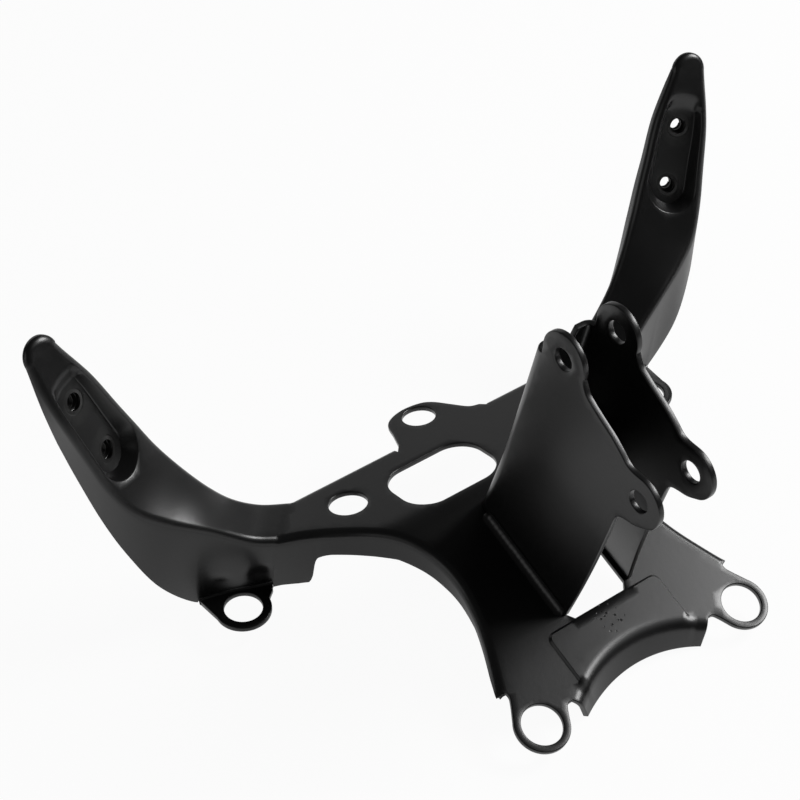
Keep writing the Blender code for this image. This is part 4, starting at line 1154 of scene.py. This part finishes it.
# %% The horn and its ear
def pad_lines():
    """Lines that the mesh follows down the mirror pad's wall and ramp, and round its screw holes."""
    foot = SCREW_STATIONS[0]
    us = np.linspace(foot, PAD_TOP, 8 * FINE + 1)
    lines = []
    for share in (WALL_SHARES if FINE > 1 else WALL_SHARES[::4]):
        radius = HORN.flat_half(foot) - share * PAD_WALL
        end = circle((foot, 0.0), radius, 9 * FINE + 1, *PAD_FOOT_TURN, closed=False)
        side = [np.array((u, HORN.flat_half(u) - share * HORN.pad_wall(u)))
                for u in us if u < PAD_TOP - PAD_RAMP]
        lines.append(side[::-1] + end + [p * (1, -1) for p in side])
    for share in np.linspace(0.0, 1.0, 2 * FINE):
        u = PAD_TOP - share * PAD_RAMP
        wide = HORN.flat_half(u) - (RAMP_SIDE_GAP if share < 1.0 else PAD_WALL)
        lines.append([np.array((u - w * w / PAD_ARCH, w)) for w in np.linspace(-wide, wide, 4 * FINE + 1)])
    if FINE > 1:
        for screw in SCREW_STATIONS:
            for k in range(-2, 3):
                ring = circle((screw, 0.0), SCREW_RING + k * SCREW_RING_WIDTH / 2, 16 * FINE)
                lines.append(ring + ring[:1])
    return lines


def dimple(rows):
    """Sinks two soft dents into the outer flange, just above the bend of the ear."""
    for row in rows[ARC + 1:-1]:
        for i, (front, back) in enumerate(row):
            sunk = 0.0
            for x, z, wide, high in DIMPLES:
                off = math.hypot((front[0] - x) / wide, (front[2] - z) / high)
                sunk = max(sunk, DIMPLE_DEPTH * math.exp(-2.0 * off * off))
            push = unit(back - front) * sunk
            row[i] = (front + push, back + push)


def horn_foot(us, end, normals, crease):
    """The foot of the horn's outer flange: a smooth line that runs out into the tip's rim."""
    line = np.array(spline(FLANGE_FOOT, SPAN))
    marks = np.interp(np.arange(len(line)) / SPAN, np.arange(len(FLANGE_FOOT)),
                      HORN.length[::SPAN][:len(FLANGE_FOOT)])
    foot = []
    for i, u in enumerate(us):
        point = np.array([np.interp(u, marks, line[:, k]) for k in range(3)])
        share = min(max((u - end) / TIP_BLEND + 1.0, 0.0), 1.0)
        foot.append(point + (crease[i] - normals[i] * TIP_RIM - point) * share ** TIP_BLEND_POWER)
    return foot


def horn_rear_foot(us, normals, crease):
    """The foot of the inner flange, which turns from upright at the root to square with the web."""
    foot = []
    marks = HORN.length[::SPAN][:len(REAR_FLANGE_DEPTH)]
    for u, point, face in zip(us, crease, normals):
        depth = float(np.interp(u, marks, REAR_FLANGE_DEPTH))
        blend = smooth_step(u / REAR_FLANGE_TURN)
        foot.append(point + unit(-face * blend - UP * (1 - blend)) * depth)
    return foot


def build_horn(bm):
    """The right horn: its web with the pressed pad, its flange all round, the tip and the ear."""
    end = HORN.tip - HORN_TIP_RADIUS
    us = [u for u in HORN.length if u < end - TIP_CLEAR] + [end]
    angles = np.linspace(0, math.pi, 10 * FINE + 1)[1:-1]
    small = HORN_TIP_RADIUS - HORN_INSET
    root = [np.array((0.0, w)) for w in np.linspace(-HORN.flat_half(0.0), HORN.flat_half(0.0), 6 * FINE + 1)]
    edge = [np.array((u, HORN.flat_half(u))) for u in us]
    edge += [np.array((end + small * math.sin(a), small * math.cos(a))) for a in angles]
    edge += [np.array((u, -HORN.flat_half(u))) for u in us[::-1]]
    bores = [circle((u, 0.0), SCREW_BORE / 2, 16 * FINE) for u in SCREW_STATIONS]
    fill_sheet(edge + root[1:-1], bores, HORN.pair, bm, guides=pad_lines())
    normals = [HORN.frame(u)[2] for u in us]
    outer_crease = [HORN.at(u, HORN.half_width(u), 0.0) for u in us]
    outer_foot = horn_foot(us, end, normals, outer_crease)
    ear_columns = range(1, EAR_STATIONS * SPAN)
    ear_root = []
    for i in ear_columns:
        outer_foot[i][2] = EAR_TOP_Z
        ear_root.append(outer_foot[i].copy())
        outer_foot[i] = outer_foot[i] + unit(outer_crease[i] - outer_foot[i]) * EAR_BEND
    centre, across, normal = HORN.frame(end)
    ahead = np.cross(across, normal)
    ahead = ahead if ahead[2] > 0 else -ahead
    tip_crease = [centre + (across * math.cos(a) + ahead * math.sin(a)) * HORN_TIP_RADIUS for a in angles]
    tip_foot = [p - normal * TIP_RIM for p in tip_crease]
    inner_crease = [HORN.at(u, -HORN.half_width(u), 0.0) for u in us]
    inner_foot = horn_rear_foot(us, normals, inner_crease)
    rows = bend_rows([HORN.at(*p, 0.0) for p in edge], outer_crease + tip_crease + inner_crease[::-1],
                     outer_foot + tip_foot + inner_foot[::-1],
                     normals + [normal] * len(angles) + normals[::-1])
    dimple(rows)
    strip(bm, rows)
    build_ear(bm, [rows[-1][i] for i in ear_columns], ear_root)


def build_ear(bm, flange_foot, root):
    """The ear bent forward from the foot of the outer flange."""
    run = unit(root[-1] - root[0])
    forward = np.array((run[1], -run[0], 0.0))
    columns = [bend(foot, crease, crease + forward * EAR_BEND, unit(foot - behind), UP)
               for (foot, behind), crease in zip(flange_foot, root)]
    strip(bm, list(zip(*columns)))
    edge = [column[-1][0][:2] for column in columns]
    outline = edge[::-1] + [edge[0] + forward[:2] * EAR_SHOULDER + np.array((EAR_SHOULDER_OUT, 0.0))]
    outline += circle((EAR_X, EAR_Y), EAR_RADIUS, 16 * FINE + 1, *EAR_TURN, closed=False)
    bore = circle((EAR_X, EAR_Y), EAR_BORE / 2, RING)
    fill_sheet(outline, [bore], lambda x, y: ((x, y, EAR_TOP_Z), (x, y, EAR_TOP_Z - SHEET)), bm)


print("lines on the mirror pad:", len(pad_lines()))

# %% The whole plate
def build_plate():
    """The whole pressed plate as one sheet."""
    bm = new_sheet()
    build_body(bm)
    horn = new_sheet()
    build_horn(horn)
    for side in (1, -1):
        add_copy(bm, horn, side)
    horn.free()
    bmesh.ops.remove_doubles(bm, verts=bm.verts, dist=MERGE)
    thicken(bm)
    return make_object("stay_plate_dressed", bm, plate_enamel)


plate = build_plate()

# %% [markdown]
# The headstock bracket is a U folded from thicker plate. Its two walls flare out towards the
# foot, each has two lobes with a bolt hole, and its web is cut down between its top corners.
# The wall's outline is drawn in the side view, and one rule gives how far out each point lies.

# %% Sizes of the headstock bracket
WALL = 3.2
WALL_HALF_WIDTH = 17.5
BRACKET_X = 1.5             # the bracket sits a little right of the middle
WALL_FOOT_SPREAD = 4.7
SPREAD_HEIGHT = 60.0
UPPER_HOLE = (53.8, 165.8)
LOWER_HOLE = (-0.9, 120.4)
HOLE_BORE = 11.4
LOBE_RADIUS = 14.0
TOP_TURN = (math.radians(-4), math.radians(196))    # where the upper lobe's arc starts and ends
NOSE_TURN = (math.radians(88), math.radians(244))   # the same of the lower lobe
FOLD_RADIUS = 6.0
WEB_TOP = (73.2, 165.0)
WEB_FOOT_Y = 103.6
FOLD_DROP = 5.3             # from the upper hole down to the web's two top corners
WEB_CUT_DEPTH = 9.0         # the cut between those corners
WEB_CUT_HALF_WIDTH = 7.4
WEB_CUT_SLOPE = 2.4
WAIST = (                   # hollow of the wall's front edge between the two lobes
    (37.6, 156.4), (33.4, 153.0), (27.4, 149.2), (19.0, 144.3), (12.8, 139.6), (8.6, 136.0), (4.6, 134.6),
)
THROAT = ((-0.6, 104.9), (5.4, 103.9), (9.2, 102.9), (11.6, 101.0), (13.2, 97.2))  # under the lower lobe
FOOT_FRONT_Y = 35.0


def foot_z(y):
    """Height of the bracket's foot above the plate, so that the flared walls stay clear of it."""
    flare = WALL * 2 * WALL_FOOT_SPREAD / SPREAD_HEIGHT
    return PROFILE.height(y) + SEAT_GAP + flare


def wall_x(y, z):
    """Half width of the bracket's outer faces, which spread towards the foot."""
    height = (z - PROFILE.height(y)) * math.cos(PROFILE.front)
    spread = max(1.0 - height / SPREAD_HEIGHT, 0.0)
    return WALL_HALF_WIDTH + WALL_FOOT_SPREAD * spread ** 2


def web_line(z):
    """Depth of the web's outer face at a height."""
    low = foot_z(WEB_FOOT_Y)
    share = (z - low) / (WEB_TOP[1] - low)
    return WEB_FOOT_Y + (WEB_TOP[0] - WEB_FOOT_Y) * share


def fold_line():
    """Points on the line where a wall turns into the web, from the foot to the top."""
    count = 16 * FINE
    foot_y = WEB_FOOT_Y - FOLD_RADIUS
    low = foot_z(foot_y)
    top = UPPER_HOLE[1] - FOLD_DROP
    heights = [low + (top - low) * k / count for k in range(count + 1)]
    return [np.array((foot_y, low))] + [np.array((web_line(z) - FOLD_RADIUS, z)) for z in heights[1:]]


def web_columns():
    """Places across the web at which its mesh has a column, close together beside the cut."""
    steps = 3 * FINE
    inner = WEB_CUT_HALF_WIDTH - WEB_CUT_SLOPE
    side = [WEB_CUT_HALF_WIDTH - WEB_CUT_SLOPE * i / steps for i in range(steps + 1)]
    middle = [inner - 2 * inner * i / steps for i in range(1, steps)]
    return side + middle + [-x for x in side[::-1]]


def wall_outline():
    """Side view of a bracket wall: two round lobes, a hollow front edge and the foot on the plate."""
    upper, lower = np.array(UPPER_HOLE), np.array(LOWER_HOLE)
    foot_front = np.array((FOOT_FRONT_Y, foot_z(FOOT_FRONT_Y)))
    top = circle(upper, LOBE_RADIUS, 14 * FINE + 1, *TOP_TURN, closed=False)
    nose = circle(lower, LOBE_RADIUS, 12 * FINE + 1, *NOSE_TURN, closed=False)
    waist = spline([top[-1], *WAIST, nose[0]], FINE)[1:-1]
    throat = spline([nose[-1], *THROAT], FINE)[1:]
    front = list(np.linspace(throat[-1], foot_front, 8 * FINE + 1))[1:-1]
    foot_rear_y = WEB_FOOT_Y - FOLD_RADIUS
    foot = [np.array((y, foot_z(y))) for y in np.linspace(FOOT_FRONT_Y, foot_rear_y, 11 * FINE + 1)]
    return top + waist + nose + throat + front + foot[:-1] + fold_line()


print("bracket walls", 2 * WALL_HALF_WIDTH, "mm apart outside")

# %% [markdown]
# The walls are filled like the plate, and rows of points carry the sheet round each fold and
# across the web. The back follows from the face's normals, because this sheet bends both ways.

# %% The bracket
def build_bracket():
    """The folded headstock bracket as one sheet."""
    bm = new_sheet()
    outline = wall_outline()
    bores = [circle(UPPER_HOLE, HOLE_BORE / 2, RING), circle(LOWER_HOLE, HOLE_BORE / 2, RING)]
    for side in (1, -1):
        fill_sheet(outline, bores, lambda y, z, s=side: ((BRACKET_X + s * wall_x(y, z), y, z),) * 2, bm)
    rows = []
    low, top = fold_line()[0][1], fold_line()[-1][1]
    for k, (y, z) in enumerate(fold_line()):
        half = wall_x(y, z)
        flat = half - FOLD_RADIUS
        row = []
        for i in range(ARC + 1):
            a = math.pi / 2 * i / ARC
            row.append((flat + FOLD_RADIUS * math.cos(a), y + FOLD_RADIUS * math.sin(a)))
        row += [(x, y + FOLD_RADIUS) for x in web_columns()]
        row += [(-x, yy) for x, yy in row[:ARC + 1]][::-1]
        points = []
        for x, yy in row:
            if k == 0:
                zz = foot_z(yy)
            else:
                cut = WEB_CUT_DEPTH * smooth_step((WEB_CUT_HALF_WIDTH - abs(x)) / WEB_CUT_SLOPE)
                zz = z - cut * ((z - low) / (top - low)) ** 2
                yy += web_line(zz) - web_line(z)
            points.append((np.array((BRACKET_X + x, yy, zz)),) * 2)
        rows.append(points)
    strip(bm, rows)
    bmesh.ops.remove_doubles(bm, verts=bm.verts, dist=MERGE)
    bmesh.ops.recalc_face_normals(bm, faces=bm.faces)
    rear = max(bm.faces, key=lambda f: f.calc_center_median().y)
    if rear.normal.y < 0:
        bmesh.ops.reverse_faces(bm, faces=bm.faces)
    bm.normal_update()
    layer = bm.verts.layers.float_vector["back"]
    for vertex in bm.verts:
        vertex[layer] = vertex.co - vertex.normal * WALL * vertex.calc_shell_factor()
    thicken(bm)
    return make_object("headstock_bracket_dressed", bm, plate_enamel)


bracket = build_bracket()

# %% [markdown]
# What repeats is made with Geometry Nodes. A small helper builds a tree with named inputs, and
# another one runs it once, turns the result into a plain mesh and takes the modifier off,
# because an exported model keeps meshes, not trees.

# %% Geometry Nodes helpers
def node_tree(name, **inputs):
    """A geometry tree with one geometry in and out, and a named input for every size."""
    tree = bpy.data.node_groups.new(name, "GeometryNodeTree")
    tree.interface.new_socket("Geometry", in_out='INPUT', socket_type='NodeSocketGeometry')
    for label, kind in inputs.items():
        tree.interface.new_socket(label, in_out='INPUT', socket_type="NodeSocket" + kind)
    tree.interface.new_socket("Geometry", in_out='OUTPUT', socket_type='NodeSocketGeometry')
    return tree, place(tree, "NodeGroupInput").outputs


def end_painted(tree, geometry, material):
    """Ends a tree in real geometry with its material, because the export drops instances."""
    real = place(tree, "GeometryNodeRealizeInstances", [("Geometry", geometry)])
    painted = place(tree, "GeometryNodeSetMaterial", [("Geometry", real.outputs[0]), ("Material", material)])
    place(tree, "NodeGroupOutput", [("Geometry", painted.outputs[0])])


def grown(name, mesh, tree, **values):
    """Runs a tree on a mesh and returns the result as a plain object."""
    seed = new_object(name + "_path", mesh)
    modifier = seed.modifiers.new("grow", 'NODES')
    modifier.node_group = tree
    for item in tree.interface.items_tree:
        if item.in_out == 'INPUT' and item.name in values:
            modifier[item.identifier] = values[item.name]
    graph = bpy.context.evaluated_depsgraph_get()
    result = bpy.data.meshes.new_from_object(seed.evaluated_get(graph))
    seed.modifiers.remove(modifier)
    bpy.data.objects.remove(seed)
    result.name = name
    print(name, len(result.polygons), "faces")
    return new_object(name, result)


def join_rings(bm, rings):
    """Joins closed rings of points with quads."""
    for a, b in zip(rings, rings[1:]):
        for i in range(len(a)):
            j = (i + 1) % len(a)
            bm.faces.new((a[i], a[j], b[j], b[i]))


print("trees end in Realize Instances and Set Material")

# %% [markdown]
# The bracket is held by a fillet weld along the foot of each wall. A welder leaves a chain of
# small overlapping puddles, which the enamel then softens. The plain fillet is swept first, and
# Geometry Nodes push its skin in and out, a little once a puddle and more by a noise.

# %% The weld beads
BEAD_LEG = 4.2
BEAD_START_Y = 36.0
BEAD_END_Y = 97.0
BEAD_SUNK = 0.6             # how far the fillet reaches into the gap behind it
BEAD_BITE = 0.36            # how far its face reaches into the wall and the plate
BEAD_END_LENGTH = 4.0
BEAD_SECTIONS = 240
BEAD_FACETS = 10
BEAD_SHARP = math.radians(50)
PUDDLE_PITCH = 3.1
PUDDLE_HEIGHT = 0.035
PUDDLE_NOISE = 9.0          # how much stronger the noise is than the even ripple
PUDDLE_NOISE_SCALE = 160.0
BEAD_TAPER = 0.02           # the square of the leg that is left at the bead's very end


def bead_ripple_tree():
    """A tree that ripples a bead's skin along its length."""
    tree, sizes = node_tree("bead_ripple", Pitch="Float", Height="Float", Seed="Float", Paint="Material")
    along = place(tree, "GeometryNodeInputNamedAttribute", [("Name", "along")], data_type='FLOAT').outputs[0]
    turns = worked_out(tree, 'MULTIPLY', worked_out(tree, 'DIVIDE', along, sizes["Pitch"]), math.tau)
    rough = place(tree, "ShaderNodeTexNoise", [
        ("Scale", PUDDLE_NOISE_SCALE), ("Detail", 2.0), ("W", sizes["Seed"])], noise_dimensions='4D')
    rough = worked_out(tree, 'SUBTRACT', rough.outputs[0], 0.5)
    rough = worked_out(tree, 'MULTIPLY', rough, PUDDLE_NOISE)
    swell = worked_out(tree, 'ADD', worked_out(tree, 'SINE', turns), rough)
    push = place(tree, "ShaderNodeVectorMath", [
        (0, place(tree, "GeometryNodeInputNormal").outputs[0]),
        ("Scale", worked_out(tree, 'MULTIPLY', swell, sizes["Height"]))], operation='SCALE').outputs[0]
    moved = place(tree, "GeometryNodeSetPosition", [("Geometry", sizes["Geometry"]), ("Offset", push)])
    end_painted(tree, moved.outputs[0], sizes["Paint"])
    return tree


def plain_bead(side):
    """A fillet swept along the foot of one wall, in metres, with its length kept in an attribute."""
    bm = bmesh.new()
    slope = math.cos(PROFILE.front)
    out = np.array((side, 0.0, 0.0))
    up = np.array((0.0, -math.sin(PROFILE.front), slope))
    rings, lengths = [], []
    span = (BEAD_END_Y - BEAD_START_Y) / slope
    for k in range(BEAD_SECTIONS + 1):
        y = BEAD_START_Y + (BEAD_END_Y - BEAD_START_Y) * k / BEAD_SECTIONS
        z = PROFILE.height(y) + SEAT_GAP
        corner = np.array((BRACKET_X + side * (wall_x(y, z) + SEAT_GAP), y, z))
        near = min(k, BEAD_SECTIONS - k) / BEAD_SECTIONS * span / BEAD_END_LENGTH
        leg = BEAD_LEG * math.sqrt(max(1.0 - (1.0 - min(near, 1.0)) ** 2, BEAD_TAPER))
        points = [corner - (out + up) * BEAD_SUNK, corner + out * leg - up * BEAD_SUNK]
        for i in range(BEAD_FACETS + 1):
            turn = math.pi / 2 * i / BEAD_FACETS
            a, b = (leg - (leg + BEAD_BITE) * share for share in (math.sin(turn), math.cos(turn)))
            points.append(corner + out * a + up * b)
        points.append(corner - out * BEAD_SUNK + up * leg)
        rings.append([bm.verts.new((p - np.array(ORIGIN)) * MM) for p in points])
        lengths += [y / slope * MM] * len(points)
    join_rings(bm, rings)
    bm.faces.new(rings[0])
    bm.faces.new(rings[-1])
    bmesh.ops.recalc_face_normals(bm, faces=bm.faces)
    mesh = to_mesh("plain_bead", bm)
    mesh.attributes.new("along", 'FLOAT', 'POINT').data.foreach_set("value", lengths)
    return mesh


bead_ripple = bead_ripple_tree()
beads = {}
for side, word in ((-1, "left"), (1, "right")):
    beads[word] = grown("weld_bead_" + word + "_dressed", plain_bead(side), bead_ripple,
                        Pitch=PUDDLE_PITCH * MM, Height=PUDDLE_HEIGHT * MM, Seed=3.0 + side,
                        Paint=bead_enamel)
    beads[word].data.shade_smooth()
    beads[word].data.set_sharp_from_angle(angle=BEAD_SHARP)

# %% [markdown]
# Behind every screw hole of the mirror pads sits a hexagon weld nut. Through the hole one looks
# down its thread. The nut is drawn once, with chamfered corners, and the thread is a spiral
# swept with a small triangle. Geometry Nodes then put one on each of the four seats.

# %% The weld nuts
NUT_WIDTH = 12.0
NUT_HEIGHT = 6.0
NUT_BORE = 7.0
NUT_CHAMFER = 0.6
NUT_CORNER = 1.13           # how far the blunt corners reach, in half widths
BORE_CHAMFER = 0.7          # the bore's chamfer, as a share of the nut's
THREAD_PITCH = 1.25
THREAD_DEPTH = 0.45
THREAD_SHARE = 0.92         # share of the nut's height that the thread takes
THREAD_FACETS = 32          # facets of one turn
NUT_SIDES = 48


def nut_mesh():
    """A hexagon nut with a bore, its seat at the origin and its height going down."""
    bm = bmesh.new()
    half = NUT_WIDTH / 2
    heights = (0.0, -NUT_CHAMFER, NUT_CHAMFER - NUT_HEIGHT, -NUT_HEIGHT)
    cuts = (NUT_CHAMFER, 0.0, 0.0, NUT_CHAMFER)
    angles = [2 * math.pi * i / NUT_SIDES for i in range(NUT_SIDES)]
    flats = [half / math.cos(a % (math.pi / 3) - math.pi / 6) for a in angles]
    sections = [(z, [min(flat, half * NUT_CORNER - cut) for flat in flats]) for z, cut in zip(heights, cuts)]
    sections += [(z, [NUT_BORE / 2 + cut * BORE_CHAMFER] * NUT_SIDES) for z, cut in zip(heights[::-1], cuts)]
    rings = [[bm.verts.new(Vector((r * math.cos(a), r * math.sin(a), z)) * MM) for r, a in zip(radii, angles)]
             for z, radii in sections]
    join_rings(bm, rings + rings[:1])
    bmesh.ops.recalc_face_normals(bm, faces=bm.faces)
    return to_mesh("nut", bm)


FLAT_ALONG = 4.0            # the pad is flat this far from a screw up and down, and across
FLAT_ACROSS = 3.0


def nut_seat(station, side):
    """Place and rotation of a nut on the back of the mirror pad."""
    slope = unit(HORN.point(station + FLAT_ALONG, 0.0) - HORN.point(station - FLAT_ALONG, 0.0))
    across = unit(HORN.point(station, FLAT_ACROSS) - HORN.point(station, -FLAT_ACROSS))
    axis = unit(np.cross(slope, across))
    if axis.dot(HORN.frame(station)[2]) < 0:
        axis = -axis
    seat = HORN.point(station, 0.0) - axis * (SHEET + SEAT_GAP)
    flip = np.array((side, 1.0, 1.0))
    seat, axis, across = seat * flip, axis * flip, across * flip
    turn = Matrix((across, np.cross(axis, across), axis)).transposed().to_euler()
    return tuple((seat - np.array(ORIGIN)) * MM), tuple(turn)


def nut_tree():
    """A tree that puts a nut with its thread on every point."""
    tree, sizes = node_tree("weld_nuts", Nut="Object", Bore="Float", Pitch="Float", Depth="Float",
                            Height="Float", Zinc="Material")
    body = place(tree, "GeometryNodeObjectInfo", [("Object", sizes["Nut"])])
    spiral = place(tree, "GeometryNodeCurveSpiral", [
        ("Resolution", THREAD_FACETS),
        ("Rotations", worked_out(tree, 'DIVIDE', sizes["Height"], sizes["Pitch"])),
        ("Start Radius", sizes["Bore"]), ("End Radius", sizes["Bore"]), ("Height", sizes["Height"])])
    ridge = place(tree, "GeometryNodeCurvePrimitiveCircle", [("Resolution", 3), ("Radius", sizes["Depth"])])
    thread = place(tree, "GeometryNodeCurveToMesh", [
        ("Curve", spiral.outputs[0]), ("Profile Curve", ridge.outputs[0]), ("Fill Caps", True)])
    drop = place(tree, "ShaderNodeCombineXYZ", [("Z", worked_out(tree, 'MULTIPLY', sizes["Height"], -1.0))])
    sunk = place(tree, "GeometryNodeTransform", [
        ("Geometry", thread.outputs[0]), ("Translation", drop.outputs[0])])
    both = place(tree, "GeometryNodeJoinGeometry", [(0, body.outputs["Geometry"]), (0, sunk.outputs[0])])
    turn = place(tree, "GeometryNodeInputNamedAttribute", [("Name", "turn")], data_type='FLOAT_VECTOR')
    spin = place(tree, "FunctionNodeEulerToRotation", [(0, turn.outputs[0])])
    seats = place(tree, "GeometryNodeMeshToPoints", [("Mesh", sizes["Geometry"])])
    seated = place(tree, "GeometryNodeInstanceOnPoints", [
        ("Points", seats.outputs[0]), ("Instance", both.outputs[0]), ("Rotation", spin.outputs[0])])
    end_painted(tree, seated.outputs[0], sizes["Zinc"])
    return tree


print("thread", round(THREAD_SHARE * NUT_HEIGHT / THREAD_PITCH, 1), "turns")

# %% [markdown]
# The nuts keep their dull zinc plating, and its grey is darkened as painted shade, for the
# shade of the pads over them. It is a metal with a fine, uneven gloss.

# %% Zinc, and the four nuts
# zinc grey darkened with painted shade
ZINC_GREY_WITH_PAINTED_SHADE = (0.055, 0.055, 0.054, 1.0)
ZINC_GLOSS = (0.32, 0.52)     # its least and greatest roughness
ZINC_GRAIN = 0.00002          # depth of its grain, in metres
ZINC_SPOT_SCALE = 500.0
ZINC_GRAIN_SCALE = 1500.0

zinc_with_painted_shade = bpy.data.materials.new("dull_zinc_with_painted_shade")
zinc_with_painted_shade.use_nodes = True
tree = zinc_with_painted_shade.node_tree
where = place(tree, "ShaderNodeTexCoord").outputs["Object"]
wire(tree.nodes["Principled BSDF"], [
    ("Base Color", ZINC_GREY_WITH_PAINTED_SHADE), ("Metallic", 1.0),
    ("Roughness", between(tree, noise(tree, ZINC_SPOT_SCALE, 4.0, where), *NOISE_RANGE, *ZINC_GLOSS)),
    ("Normal", bumped(tree, noise(tree, ZINC_GRAIN_SCALE, 3.0, where), ZINC_GRAIN))])

nut_model = new_object("nut_model", nut_mesh())
seats = [nut_seat(station, side) for side in (-1, 1) for station in SCREW_STATIONS]
seat_mesh = bpy.data.meshes.new("nut_seats")
seat_mesh.from_pydata([seat for seat, _ in seats], [], [])
turns = seat_mesh.attributes.new("turn", 'FLOAT_VECTOR', 'POINT')
for i, (_, turn) in enumerate(seats):
    turns.data[i].vector = turn
nuts = grown("weld_nuts_dressed", seat_mesh, nut_tree(), Nut=nut_model, Bore=NUT_BORE / 2 * MM,
             Pitch=THREAD_PITCH * MM, Depth=THREAD_DEPTH * MM, Height=NUT_HEIGHT * THREAD_SHARE * MM,
             Zinc=zinc_with_painted_shade)
nuts.data.set_sharp_from_angle(angle=SHARP)
bpy.data.objects.remove(nut_model)

# %% [markdown]
# Last, each piece says which CAD nodes it stands for, which are then hidden, and that it belongs
# to the one rigid body. Every point of it is first held inside the CAD box.

# %% Tie the pieces to the frame
REPLACED = {
    plate: ["stay_plate"],
    bracket: ["headstock_bracket"],
    beads["left"]: ["weld_bead_left"],
    beads["right"]: ["weld_bead_right"],
    nuts: ["weld_nut_%s_%s" % (side, level) for side in ("left", "right") for level in ("lower", "upper")],
}
LOW, HIGH = (np.array(corner) for corner in cad_box)
for piece, nodes in REPLACED.items():
    for vertex in piece.data.vertices:      # the finer arcs may stand a hair outside the CAD box
        vertex.co = np.minimum(np.maximum(np.array(vertex.co), LOW), HIGH)
    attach(piece, "root")
    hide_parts(*nodes)
    print(piece.name, "replaces", nodes)
